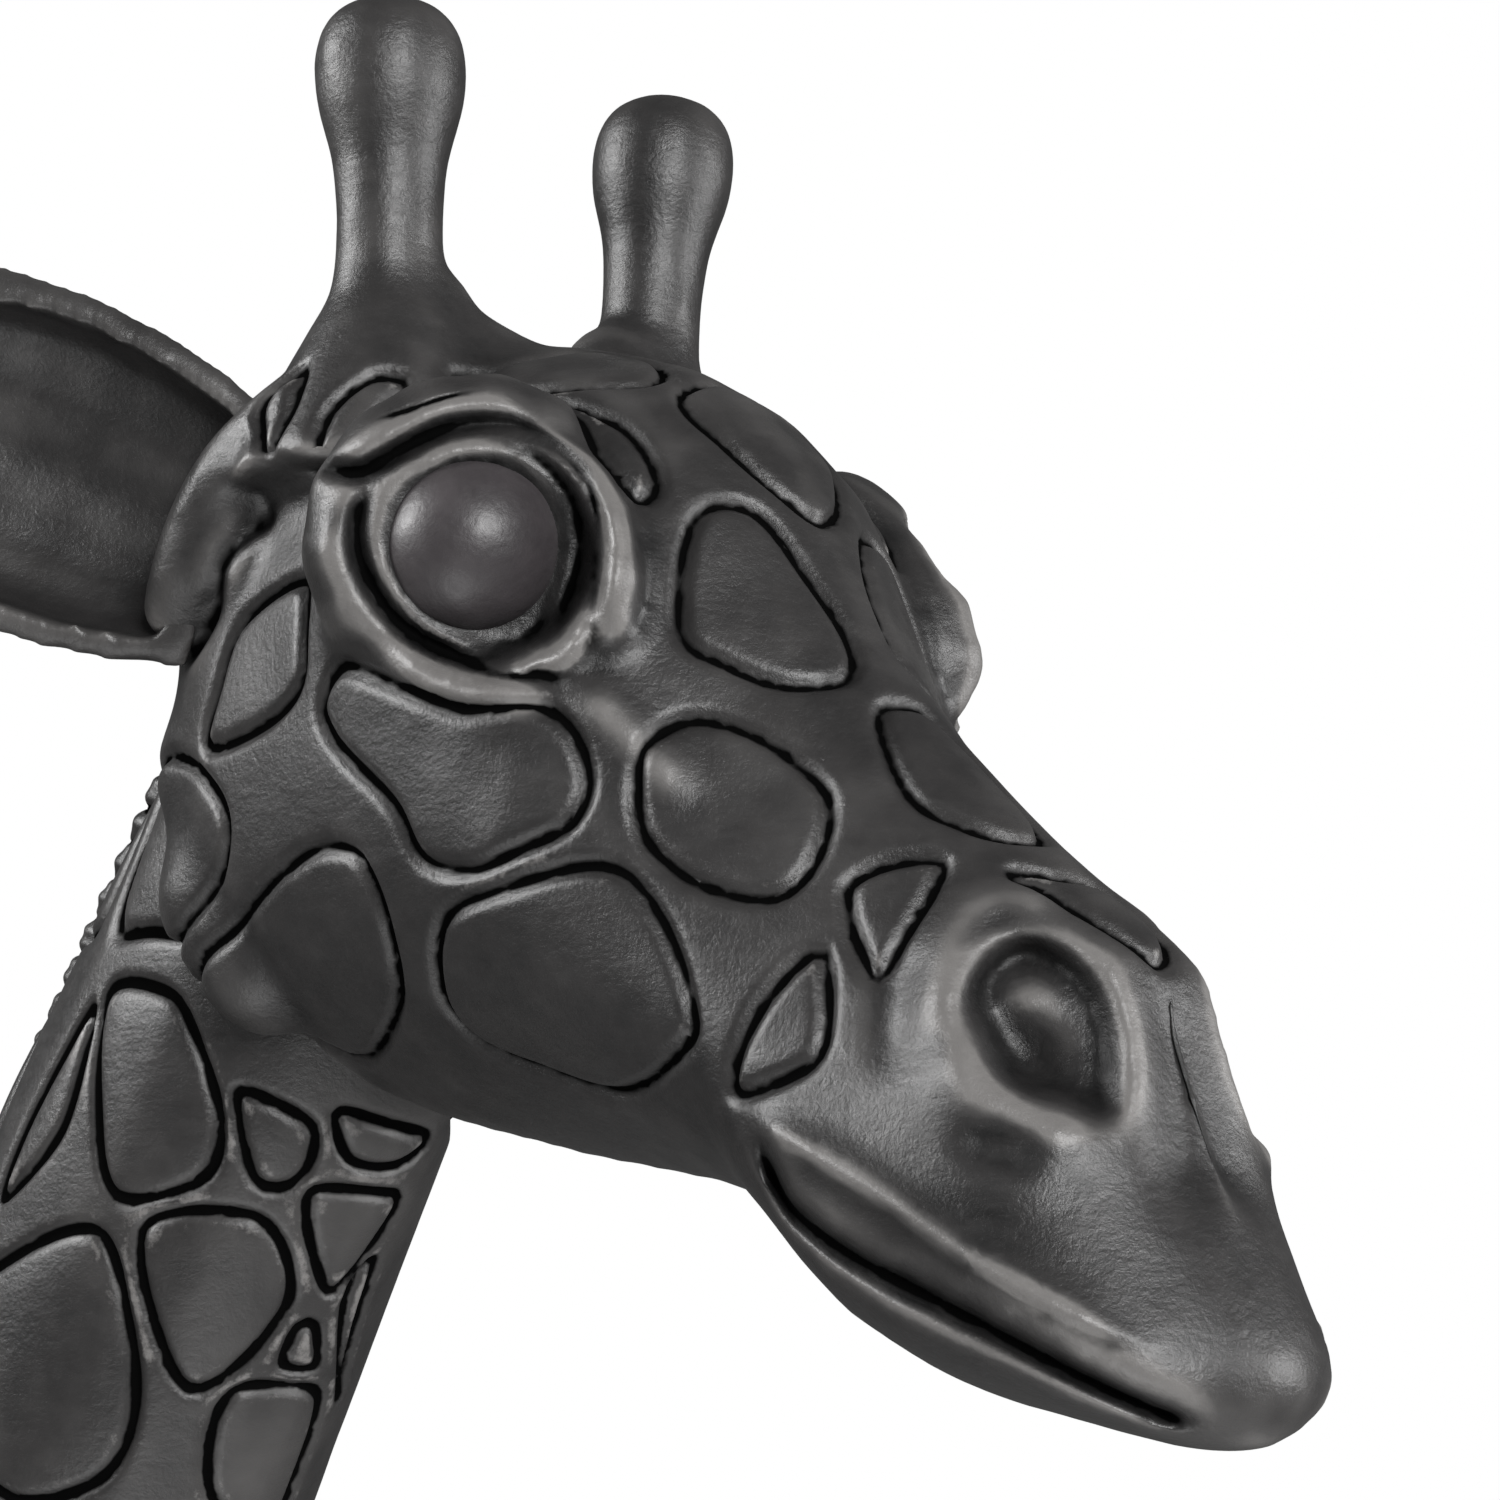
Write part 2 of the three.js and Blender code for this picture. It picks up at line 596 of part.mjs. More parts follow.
// One leaf, hollow side flat. The smaller leaf that hollows it is shifted out of the opening.
function leaf(sign, inset, from) {
  const { along, opening, across, root } = earFrame(sign);
  const rows = EAR_LEAF.filter(([share]) => share >= from);
  const sections = rows.map(([share, wide]) =>
    Array.from({ length: 12 }, (_, i) => {
      const turn = (i / 12) * 2 * Math.PI;
      const half = Math.max(EAR.half * wide - inset, THINNEST);
      const depth = Math.max(EAR.deep * Math.sqrt(wide) - inset, THINNEST);
      const front = inset > 0 ? depth : EAR.back;
      const lift = Math.sin(turn) * (Math.sin(turn) > 0 ? front : depth);
      return root
        .clone()
        .addScaledVector(along, (EAR.length - 2 * inset) * share)
        .addScaledVector(across, Math.cos(turn) * half)
        .addScaledVector(opening, lift);
    }),
  );
  const rings = refineRings(sections, 10);
  const wound = sign < 0 ? rings : rings.map((ring) => ring.reverse());
  return solidOf(loft(wound));
}

const headCutter = headMass(GAP);
for (const { side, sign } of SIDES) {
  const { along, root } = earFrame(sign);
  const inner = root.clone().addScaledVector(along, -EAR.pegLength / 2 + EAR.wall);
  const peg = pin(inner, along, EAR.peg, EAR.pegLength);
  const hole = pin(inner, along, EAR.peg + GAP, EAR.pegLength + 2 * GAP);
  const cup = leaf(sign, 0, 0).subtract(leaf(sign, EAR.wall, 0.1)).subtract(headCutter);
  head = head.subtract(hole);
  addPiece(`ear_${side}`, cup.add(peg), DARK_WOOD);
}

// ---------- eyes, nostrils and the seat on the neck ----------

for (const { side, sign } of SIDES) {
  const at = [EYE.forward, sign * EYE.side, EYE.up];
  const r = EYE.radius / unit;
  addPiece(`eye_${side}`, egg(at, [r, r, r], 16), POLISHED_BLACK);
  head = head.subtract(egg(at, [r + GAP, r + GAP, r + GAP], 16));
  const open = EYE.opening / unit;
  const [forward, aside, up] = EYE_TOWARD.map((share) => share * open * EYE_OPENING_SET);
  const front = [EYE.forward + forward, sign * (EYE.side + aside), EYE.up + up];
  head = head.subtract(egg(front, [open, open, open], 14));
  const nostril = [NOSTRIL.at[0], sign * NOSTRIL.at[1], NOSTRIL.at[2]];
  head = head.subtract(egg(nostril, NOSTRIL.size, 10));
}

head = head.subtract(neckSolid(GAP).intersect(halfSpace(neckTop, neckTopAxis.clone().negate())));
head = head.subtract(maneSolid(GAP, 0.05)).subtract(headHole);
addPiece("head", head, DARK_WOOD);

export default statue;
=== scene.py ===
import bpy
import bmesh
import math
import numpy as np
from mathutils import Matrix, Vector
from mathutils.bvhtree import BVHTree
from mathutils.kdtree import KDTree


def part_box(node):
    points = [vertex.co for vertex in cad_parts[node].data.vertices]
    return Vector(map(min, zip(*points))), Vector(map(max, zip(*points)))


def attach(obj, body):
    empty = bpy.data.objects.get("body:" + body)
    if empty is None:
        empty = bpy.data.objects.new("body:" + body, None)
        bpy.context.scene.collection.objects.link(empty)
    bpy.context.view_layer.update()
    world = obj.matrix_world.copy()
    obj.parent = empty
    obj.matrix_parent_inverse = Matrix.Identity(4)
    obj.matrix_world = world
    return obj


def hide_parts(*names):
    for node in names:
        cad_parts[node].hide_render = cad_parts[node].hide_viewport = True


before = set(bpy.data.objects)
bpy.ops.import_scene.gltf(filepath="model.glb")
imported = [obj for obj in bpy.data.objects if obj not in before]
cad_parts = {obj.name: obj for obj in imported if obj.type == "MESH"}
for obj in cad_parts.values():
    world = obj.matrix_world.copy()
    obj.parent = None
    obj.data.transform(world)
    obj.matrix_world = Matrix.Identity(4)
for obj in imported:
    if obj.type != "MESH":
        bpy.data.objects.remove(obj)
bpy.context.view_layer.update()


# Felt sheet: a thin dark pressed-wool sheet glued under the plinth so that it doesn't scratch.
# It is cut to the plinth's outline, a little inside its edge.

MM = 0.001


def new_finish(name, colour, roughness):
    """A material and its surface, with the numbers that don't change over the piece set on it."""
    material = bpy.data.materials.new(name)
    material.use_nodes = True
    surface = material.node_tree.nodes["Principled BSDF"]
    surface.inputs["Base Color"].default_value = (*colour, 1)
    surface.inputs["Roughness"].default_value = roughness
    return material, surface


def add_node(material, kind, links=None, **values):
    """A node with its inputs set by value, or linked where links gives a socket for them."""
    node = material.node_tree.nodes.new("ShaderNode" + kind)
    for key, value in values.items():
        if hasattr(node, key):
            setattr(node, key, value)
        else:
            node.inputs[key.replace("_", " ")].default_value = value
    for key, socket in (links or {}).items():
        material.node_tree.links.new(socket, node.inputs[key])
    return node


def place_in(material):
    return material.node_tree.nodes.new("ShaderNodeTexCoord").outputs["Object"]


def grain(material, scale, detail=4.0, rough=0.55, where=None, stretch=None):
    """A noise pattern that stays put in the piece, from 0 to 1."""
    where = where or place_in(material)
    if stretch:
        where = add_node(material, "Mapping", {"Vector": where}, Scale=stretch).outputs["Vector"]
    noise = add_node(material, "TexNoise", {"Vector": where}, Scale=scale, Detail=detail, Roughness=rough)
    return noise.outputs["Fac"]


def ramp(material, value, stops):
    """Colours (or greys) along a value."""
    node = add_node(material, "ValToRGB", {"Fac": value})
    while len(node.color_ramp.elements) < len(stops):
        node.color_ramp.elements.new(0.5)
    for element, (at, shade) in zip(node.color_ramp.elements, stops):
        element.position = at
        element.color = (*shade, 1) if isinstance(shade, tuple) else (shade, shade, shade, 1)
    return node.outputs["Color"]


def mix(material, share, first, second, how="MIX"):
    node = material.node_tree.nodes.new("ShaderNodeMix")
    node.data_type = "RGBA"
    node.blend_type = how
    for socket, value in ((node.inputs[0], share), (node.inputs[6], first), (node.inputs[7], second)):
        if isinstance(value, bpy.types.NodeSocket):
            material.node_tree.links.new(value, socket)
        elif isinstance(value, tuple):
            socket.default_value = (*value, 1)
        else:
            socket.default_value = value
    return node.outputs[2]


def sums(material, how, first, second, clamp=False):
    node = material.node_tree.nodes.new("ShaderNodeMath")
    node.operation = how
    node.use_clamp = clamp
    for socket, value in zip(node.inputs, (first, second)):
        if isinstance(value, bpy.types.NodeSocket):
            material.node_tree.links.new(value, socket)
        else:
            socket.default_value = value
    return node.outputs[0]


def dress(material, surface, colour=None, roughness=None, heights=()):
    """Link the patterns to the surface. Each height is a pattern and how deep it is, in metres."""
    link = material.node_tree.links.new
    if colour is not None:
        link(colour, surface.inputs["Base Color"])
    if roughness is not None:
        link(roughness, surface.inputs["Roughness"])
    below = None
    for pattern, depth in heights:
        bump = add_node(material, "Bump", {"Height": pattern}, Distance=depth, Strength=1.0)
        if below:
            link(below, bump.inputs["Normal"])
        below = bump.outputs["Normal"]
    if below:
        link(below, surface.inputs["Normal"])


def wear_finish(piece, material):
    piece.data.materials.clear()
    piece.data.materials.append(material)


felt, felt_surface = new_finish("felt_wool", (0.012, 0.013, 0.012), 0.95)
felt_surface.inputs["Sheen Weight"].default_value = 0.35
felt_surface.inputs["Sheen Roughness"].default_value = 0.6
fluff = grain(felt, 900, 6)
dress(felt, felt_surface, ramp(felt, fluff, [(0.3, (0.006, 0.007, 0.006)), (0.7, (0.03, 0.031, 0.03))]),
      heights=[(fluff, 0.0004), (grain(felt, 220), 0.0005)])
wear_finish(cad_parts["felt_base"], felt)


# Plinth: one plank with round corners, its long edges eased with a hand plane, oiled and stained
# to match the animal. The legs stand on it and are screwed on from below.

def put_in_scene(name, mesh):
    piece = bpy.data.objects.new(name, mesh)
    bpy.context.scene.collection.objects.link(piece)
    return piece


plinth_low, plinth_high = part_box("plinth")
plinth_size = plinth_high - plinth_low
PLINTH_CORNER = 46 * MM
PLINTH_ROUND = 5 * MM
plank = bmesh.new()
bmesh.ops.create_cube(plank, size=1.0)
bmesh.ops.scale(plank, verts=plank.verts, vec=plinth_size)
bmesh.ops.translate(plank, verts=plank.verts, vec=(plinth_low + plinth_high) / 2)
uprights = [e for e in plank.edges if abs(e.verts[0].co.z - e.verts[1].co.z) > plinth_size.z / 2]
bmesh.ops.bevel(plank, geom=uprights, offset=PLINTH_CORNER, offset_type="OFFSET", affect="EDGES",
                segments=16, profile=0.5, material=-1)
rims = [e for e in plank.edges if abs((e.verts[0].co - e.verts[1].co).z) < 1e-6 and len(e.link_faces) == 2
        and abs(e.link_faces[0].normal.z - e.link_faces[1].normal.z) > 0.5]
bmesh.ops.bevel(plank, geom=rims, offset=PLINTH_ROUND, offset_type="OFFSET", affect="EDGES",
                segments=5, profile=0.5, material=-1)
ends = [f for f in plank.faces if len(f.verts) > 4]
bmesh.ops.triangulate(plank, faces=ends)
bmesh.ops.recalc_face_normals(plank, faces=plank.faces)
for face in plank.faces:
    face.smooth = abs(face.normal.z) < 0.999
plinth_mesh = bpy.data.meshes.new("plinth_plank")
plank.to_mesh(plinth_mesh)
plank.free()
plinth = put_in_scene("plinth_plank", plinth_mesh)
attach(plinth, "root")
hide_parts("plinth")

stained_plank, plank_surface = new_finish("stained_plank", (0.03, 0.028, 0.027), 0.42)
plank_surface.inputs["Coat Weight"].default_value = 0.12
plank_surface.inputs["Coat Roughness"].default_value = 0.3
figure = grain(stained_plank, 9, 5, 0.6, stretch=(7.0, 0.7, 7.0))
pores = grain(stained_plank, 60, 3, 0.6, stretch=(14.0, 0.6, 14.0))
dress(stained_plank, plank_surface,
      mix(stained_plank, ramp(stained_plank, pores, [(0.42, 0.0), (0.6, 1.0)]), (0.006, 0.0055, 0.005),
          ramp(stained_plank, figure, [(0.3, (0.014, 0.012, 0.011)), (0.55, (0.04, 0.036, 0.034)),
                                       (0.75, (0.024, 0.021, 0.02))])),
      ramp(stained_plank, figure, [(0.3, 0.36), (0.8, 0.52)]),
      [(pores, 0.00025), (figure, 0.0003)])
wear_finish(plinth, stained_plank)


# Screws and dowels: four zinc-plated countersunk screws through the plinth into the hooves, and
# fluted beech dowels that peg legs, neck and head together. They are glued inside and barely show.

SIDES = ("front_right", "front_left", "back_right", "back_left")
zinc, zinc_surface = new_finish("zinc_plated_steel", (0.5, 0.5, 0.49), 0.35)
zinc_surface.inputs["Metallic"].default_value = 1.0
spangle = grain(zinc, 700, 3)
dress(zinc, zinc_surface, ramp(zinc, spangle, [(0.3, (0.36, 0.36, 0.35)), (0.7, (0.6, 0.6, 0.58))]),
      ramp(zinc, spangle, [(0.3, 0.28), (0.7, 0.46)]), [(grain(zinc, 2500, 2), 0.00003)])
beech, beech_surface = new_finish("beech_dowel", (0.4, 0.24, 0.12), 0.7)
flecks = grain(beech, 300, 4, 0.6, stretch=(1.0, 1.0, 0.12))
dress(beech, beech_surface, ramp(beech, flecks, [(0.35, (0.28, 0.15, 0.07)), (0.65, (0.46, 0.29, 0.16))]),
      heights=[(flecks, 0.0002)])
for place in SIDES:
    wear_finish(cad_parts["screw_" + place], zinc)
    wear_finish(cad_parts["dowel_" + place], beech)
for node in ("dowel_neck_front", "dowel_neck_back", "dowel_head"):
    wear_finish(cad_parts[node], beech)


# Body: legs, trunk and neck are glued up from blocks and carved as one, then read as six pieces
# that part at the glue joints. Rounded with rasps and scrapers, then the coat patches are
# outlined with a veiner, wide on the barrel and finer up the neck and down the legs.


def set_shape(piece):
    """Fix the modifiers' result into the mesh."""
    graph = bpy.context.evaluated_depsgraph_get()
    shaped = bpy.data.meshes.new_from_object(piece.evaluated_get(graph))
    piece.modifiers.clear()
    rough, piece.data = piece.data, shaped
    bpy.data.meshes.remove(rough)


def merged_copy(*nodes):
    """Closed copies of CAD nodes in one bmesh."""
    bm = bmesh.new()
    for node in nodes:
        bm.from_mesh(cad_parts[node].data)
    bmesh.ops.remove_doubles(bm, verts=bm.verts, dist=1e-6)
    return bm


def join_in(bm, other):
    """Put another bmesh's shape into bm."""
    spare = bpy.data.meshes.new("spare")
    other.to_mesh(spare)
    other.free()
    bm.from_mesh(spare)
    bpy.data.meshes.remove(spare)


def refill(name, bm, cell):
    """One closed skin round everything in bm, in even quads of the size of cell."""
    mesh = bpy.data.meshes.new(name)
    bm.to_mesh(mesh)
    bm.free()
    piece = put_in_scene(name, mesh)
    skin = piece.modifiers.new("skin", "REMESH")
    skin.mode = "VOXEL"
    skin.voxel_size = cell
    set_shape(piece)
    return piece


def points_of(mesh):
    flat = np.empty(len(mesh.vertices) * 3)
    mesh.vertices.foreach_get("co", flat)
    return flat.reshape(-1, 3)


def normals_of(mesh):
    flat = np.empty(len(mesh.vertices) * 3)
    mesh.vertex_normals.foreach_get("vector", flat)
    return flat.reshape(-1, 3)


def set_points(mesh, points):
    mesh.vertices.foreach_set("co", points.ravel())
    mesh.update()


def neighbours(mesh):
    """The two ends of every edge, and how many edges meet at each point."""
    ends = np.empty(len(mesh.edges) * 2, dtype=np.int64)
    mesh.edges.foreach_get("vertices", ends)
    a, b = ends.reshape(-1, 2).T
    count = np.bincount(a, minlength=len(mesh.vertices)) + np.bincount(b, minlength=len(mesh.vertices))
    return a, b, count


def averaged(values, a, b, count):
    """Each vertex's mean of its neighbours."""
    mean = np.empty_like(values)
    for axis in range(values.shape[1]):
        column = values[:, axis]
        total = np.bincount(a, weights=column[b], minlength=len(values))
        total += np.bincount(b, weights=column[a], minlength=len(values))
        mean[:, axis] = total / count
    return mean


def sand(piece, rounds, where=None):
    """Take out facets and tool steps, pulling in and letting out by turns so that nothing gets thinner."""
    mesh = piece.data
    linked = neighbours(mesh)
    points = points_of(mesh)
    for pull in [0.6, -0.62] * rounds:
        move = pull * (averaged(points, *linked) - points)
        points += move if where is None else move * where[:, None]
    set_points(mesh, points)


def ease(piece, rounds, where):
    """Rub lumps down into one smooth surface, most where the share is highest."""
    mesh = piece.data
    linked = neighbours(mesh)
    points = points_of(mesh)
    for _ in range(rounds):
        points += 0.7 * (averaged(points, *linked) - points) * where[:, None]
    set_points(mesh, points)


def stands_out(mesh, rounds):
    """How far each point stands out of the skin round it, in metres."""
    linked = neighbours(mesh)
    points = points_of(mesh)
    rounded = points
    for _ in range(rounds):
        rounded = averaged(rounded, *linked)
    stand = np.sum((points - rounded) * normals_of(mesh), axis=1)[:, None]
    broad = stand
    for _ in range(5 * rounds):
        broad = averaged(broad, *linked)
    return averaged(stand - broad, *linked)[:, 0]


def note(piece, name, rounds, full):
    """Write on each point how far it stands out or lies below its surroundings: 1 or -1 at full mm."""
    values = np.clip(stands_out(piece.data, rounds) / (full * MM), -1.5, 1.5)
    piece.data.attributes.new(name, "FLOAT", "POINT").data.foreach_set("value", values.astype(np.float32))


def smoothly_shaded(piece):
    piece.data.polygons.foreach_set("use_smooth", np.ones(len(piece.data.polygons), dtype=bool))
    piece.data.update()


def tree_of_points(mesh):
    tree = KDTree(len(mesh.vertices))
    for index, point in enumerate(points_of(mesh)):
        tree.insert(point, index)
    tree.balance()
    return tree


def shade_as(piece, whole):
    """Give a sawn piece the shading of the whole carving, so no line shows where two pieces meet."""
    tree = tree_of_points(whole.data)
    normals = normals_of(whole.data)
    shading = []
    for point in points_of(piece.data):
        nearest = tree.find_n(point, 3)
        blend = sum((Vector(normals[index]) / (gap + 1e-6) for _, index, gap in nearest), Vector())
        shading.append(blend.normalized())
    piece.data.normals_split_custom_set_from_vertices(shading)


def finer(piece):
    """Split every face in four, rounding as it goes."""
    split = piece.modifiers.new("finer", "SUBSURF")
    split.levels = 1
    split.render_levels = 1
    set_shape(piece)


def thinned(piece, most):
    """Merge the small faces of flat areas until no more than most triangles are left, keeping the notes."""
    triangles = sum(len(face.vertices) - 2 for face in piece.data.polygons)
    if triangles <= most:
        return
    notes = {}
    for name in ("relief", "form"):
        notes[name] = np.empty(len(piece.data.vertices), dtype=np.float32)
        piece.data.attributes[name].data.foreach_get("value", notes[name])
    tree = tree_of_points(piece.data)
    fewer = piece.modifiers.new("fewer", "DECIMATE")
    fewer.ratio = most / triangles
    set_shape(piece)
    nearest = [tree.find(point)[1] for point in points_of(piece.data)]
    for name, values in notes.items():
        piece.data.attributes[name].data.foreach_set("value", values[nearest])


def keep_island(piece, seed):
    """Drop every loose shell but the one that reaches nearest to seed."""
    bm = bmesh.new()
    bm.from_mesh(piece.data)
    bm.verts.ensure_lookup_table()
    points = points_of(piece.data)
    start = bm.verts[int(np.argmin(np.linalg.norm(points - np.array(seed), axis=1)))]
    kept, waiting = {start}, [start]
    while waiting:
        for edge in waiting.pop().link_edges:
            for vert in edge.verts:
                if vert not in kept:
                    kept.add(vert)
                    waiting.append(vert)
    bmesh.ops.delete(bm, geom=[v for v in bm.verts if v not in kept], context="VERTS")
    bm.to_mesh(piece.data)
    bm.free()


def cut_off(bm, point, direction):
    """Saw bm at a plane, drop what lies on the side direction points to, and close the cut."""
    sawn = bmesh.ops.bisect_plane(bm, geom=[*bm.verts, *bm.edges, *bm.faces], dist=1e-7,
                                  plane_co=Vector(point), plane_no=Vector(direction), clear_outer=True)
    rim = [e for e in sawn["geom_cut"] if isinstance(e, bmesh.types.BMEdge) and len(e.link_faces) < 2]
    bmesh.ops.holes_fill(bm, edges=rim, sides=0)
    bmesh.ops.triangulate(bm, faces=[f for f in bm.faces if len(f.verts) > 4])


def curve_through(marks, step, closed=False):
    """Points about step apart on a smooth curve through the marks."""
    marks = np.array(marks, dtype=float)
    if closed:
        around = np.vstack([marks[-1:], marks, marks[:2]])
    else:
        around = np.vstack([2 * marks[0] - marks[1], marks, 2 * marks[-1] - marks[-2]])
    curve = []
    for p0, p1, p2, p3 in zip(around, around[1:], around[2:], around[3:]):
        parts = max(2, int(np.linalg.norm(p2 - p1) / step))
        for t in np.arange(parts) / parts:
            bend = (2 * p0 - 5 * p1 + 4 * p2 - p3) * t**2 + (3 * p1 - p0 - 3 * p2 + p3) * t**3
            curve.append(p1 + 0.5 * ((p2 - p0) * t + bend))
    if not closed:
        curve.append(marks[-1])
    return np.array(curve)


def distance_to(points, path, closed=False):
    """Shortest distance from each point to a path, and how far along the path it is met."""
    starts = path
    stops = np.roll(path, -1, axis=0)
    if not closed:
        starts, stops = starts[:-1], stops[:-1]
    best = np.full(len(points), 1e9)
    along = np.zeros(len(points))
    for index, (start, stop) in enumerate(zip(starts, stops)):
        run = stop - start
        share = np.clip((points - start) @ run / max(run @ run, 1e-12), 0, 1)
        gap = np.linalg.norm(points - start - share[:, None] * run, axis=1)
        nearer = gap < best
        best[nearer] = gap[nearer]
        along[nearer] = index + share[nearer]
    return best, along / len(starts)


def inside(points, outline):
    """Whether flat points lie inside a closed outline."""
    x, y = points[:, 0], points[:, 1]
    within = np.zeros(len(points), dtype=bool)
    for (x0, y0), (x1, y1) in zip(outline, np.roll(outline, -1, axis=0)):
        if y0 != y1:
            crossing = ((y0 > y) != (y1 > y)) & (x < (x1 - x0) * (y - y0) / (y1 - y0) + x0)
            within ^= crossing
    return within


def soft_step(value, low, high):
    t = np.clip((value - low) / (high - low), 0, 1)
    return t * t * (3 - 2 * t)


def middle(node):
    low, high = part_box(node)
    return (np.array(low) + np.array(high)) / 2


stained_wood, wood_surface = new_finish("stained_carving", (0.03, 0.029, 0.029), 0.4)
relief = add_node(stained_wood, "Attribute", attribute_name="relief").outputs["Fac"]
form = add_node(stained_wood, "Attribute", attribute_name="form").outputs["Fac"]
cloudy = grain(stained_wood, 30, 4, 0.6)
mottle = grain(stained_wood, 170, 5, 0.62)
hide = grain(stained_wood, 1100, 5, 0.7)
strokes = grain(stained_wood, 330, 4, 0.65, stretch=(1.0, 0.45, 1.8))
ragged = grain(stained_wood, 520, 6, 0.8)
# Painted light and shade: the form note paints rolls and ridges that stand out lighter, as a painted
# highlight, and the hollows between them darker, as painted shade; cloudy adds random tone to it.
height = sums(stained_wood, "ADD", sums(stained_wood, "MULTIPLY", form, 0.95), cloudy)
tone = ramp(stained_wood, height, [(0.0, (0.006, 0.006, 0.0062)), (0.5, (0.022, 0.0212, 0.0212)),
                                   (0.75, (0.058, 0.056, 0.055)), (1.0, (0.16, 0.154, 0.149))])
tone = mix(stained_wood, ramp(stained_wood, mottle, [(0.35, 0.0), (0.72, 0.3)]), tone, (0.05, 0.047, 0.046))
# Painted shade: where the relief note lies low, in grooves and creases, the tone is darkened to near black
# and the roughness goes up.
groove_shade_mask = ramp(stained_wood, sums(stained_wood, "MULTIPLY", relief, -1.0), [(0.05, 0.0), (0.45, 1.0)])
tone = mix(stained_wood, groove_shade_mask, tone, (0.0025, 0.0025, 0.0025))
uneven = sums(stained_wood, "MULTIPLY", sums(stained_wood, "SUBTRACT", ragged, 0.5), 1.7)
rubbed = sums(stained_wood, "ADD", relief, uneven)
rubbed = ramp(stained_wood, rubbed, [(0.5, 0.0), (0.95, 0.7)])
tone = mix(stained_wood, rubbed, tone, (0.22, 0.212, 0.206))
sheen_spots = sums(stained_wood, "ADD", ramp(stained_wood, strokes, [(0.3, 0.3), (0.75, 0.44)]),
                   sums(stained_wood, "MULTIPLY", groove_shade_mask, 0.3))
dress(stained_wood, wood_surface, tone, sheen_spots, [(hide, 0.00012), (strokes, 0.00009), (mottle, 0.00012)])
# Painted shade: the specular is turned down in the same grooves, so they show no reflection.
dull = sums(stained_wood, "MULTIPLY", sums(stained_wood, "SUBTRACT", 1.0, groove_shade_mask), 0.5)
stained_wood.node_tree.links.new(dull, wood_surface.inputs["Specular IOR Level"])


def above_plane(points, point, direction):
    return (points - np.array(point)) @ np.array(direction)


def push_face(bm, point, direction, distance=1.0 * MM):
    """Slide the vertices of a joint face along, so that the glue gap closes."""
    for vert in bm.verts:
        if abs((vert.co - Vector(point)).dot(Vector(direction))) < 0.5 * MM:
            vert.co += Vector(direction) * distance


neck_top = middle("dowel_head")
neck_base = (middle("dowel_neck_front") + middle("dowel_neck_back")) / 2
TOP_LEAN, BASE_LEAN = math.radians(37), math.radians(38)
top_way = np.array([0, -math.sin(TOP_LEAN), math.cos(TOP_LEAN)])
base_way = np.array([0, -math.sin(BASE_LEAN), math.cos(BASE_LEAN)])
NECK_CROWN = (26 * MM, 33 * MM, 24 * MM)
GLUE = 0.3 * MM
BODY_CELL = 2.6 * MM
HOOF_FLAT = 1.5 * MM
MANE_BED = 12 * MM
MANE_BED_WIDER = 1.15
joint_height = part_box("leg_front_right")[1].z
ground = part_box("leg_front_right")[0].z

legs = merged_copy(*("leg_" + place for place in SIDES))
push_face(legs, (0, 0, joint_height), (0, 0, 1))
neck_block = merged_copy("neck")
push_face(neck_block, neck_base + base_way * GLUE, base_way, -1.0 * MM)
body_block = merged_copy("trunk")
join_in(body_block, legs)
join_in(body_block, neck_block)
crown = bmesh.new()
bmesh.ops.create_icosphere(crown, subdivisions=4, radius=1.0)
turn = Vector((0, 0, 1)).rotation_difference(Vector(top_way)).to_matrix().to_4x4()
bmesh.ops.transform(crown, verts=crown.verts, matrix=Matrix.Translation(Vector(neck_top)) @ turn
                    @ Matrix.Diagonal((*NECK_CROWN, 1)))
join_in(body_block, crown)
filler = merged_copy("mane")
bmesh.ops.scale(filler, verts=filler.verts, vec=(MANE_BED_WIDER, 1, 1))
inward = Vector((0, -math.cos(TOP_LEAN), -math.sin(TOP_LEAN)))
bmesh.ops.translate(filler, verts=filler.verts, vec=inward * MANE_BED)
join_in(body_block, filler)
body = refill("body_blank", body_block, BODY_CELL)
keep_island(body, middle("trunk") + np.array([0, 1, 0]))
sand(body, 16)
points = points_of(body.data)
points[:, 2] = np.where(points[:, 2] < ground + HOOF_FLAT, ground, points[:, 2])
set_points(body.data, points)

# Coat patches: millimetres apart on the barrel, how much closer at the top of the neck and at the
# feet, how far the change takes in metres, then the shares of the spacing for wobble and border
BARREL_APART, CLOSER_UP_NECK, CLOSER_DOWN_LEG = 58, 30, 32
NARROWS_OVER = 0.50
ABOVE_LEG_JOINT = 0.03
WOBBLE_SHARE, BORDER_SHARE = 0.07, 0.105
CORNER_SHARPNESS = 9
SCRAP_BELOW = 0.62
DRAWN_APART, DRAWN_BORDER = 17 * MM, 4.5 * MM


def patch_spacing(points):
    """How far apart coat patches sit, in metres: widest on the barrel, closer up the neck and legs."""
    up_neck = np.clip(above_plane(points, neck_base, base_way) / NARROWS_OVER, 0, 1)
    down_leg = np.clip((joint_height + ABOVE_LEG_JOINT - points[:, 2]) / NARROWS_OVER, 0, 1)
    return (BARREL_APART - CLOSER_UP_NECK * up_neck - CLOSER_DOWN_LEG * down_leg) * MM


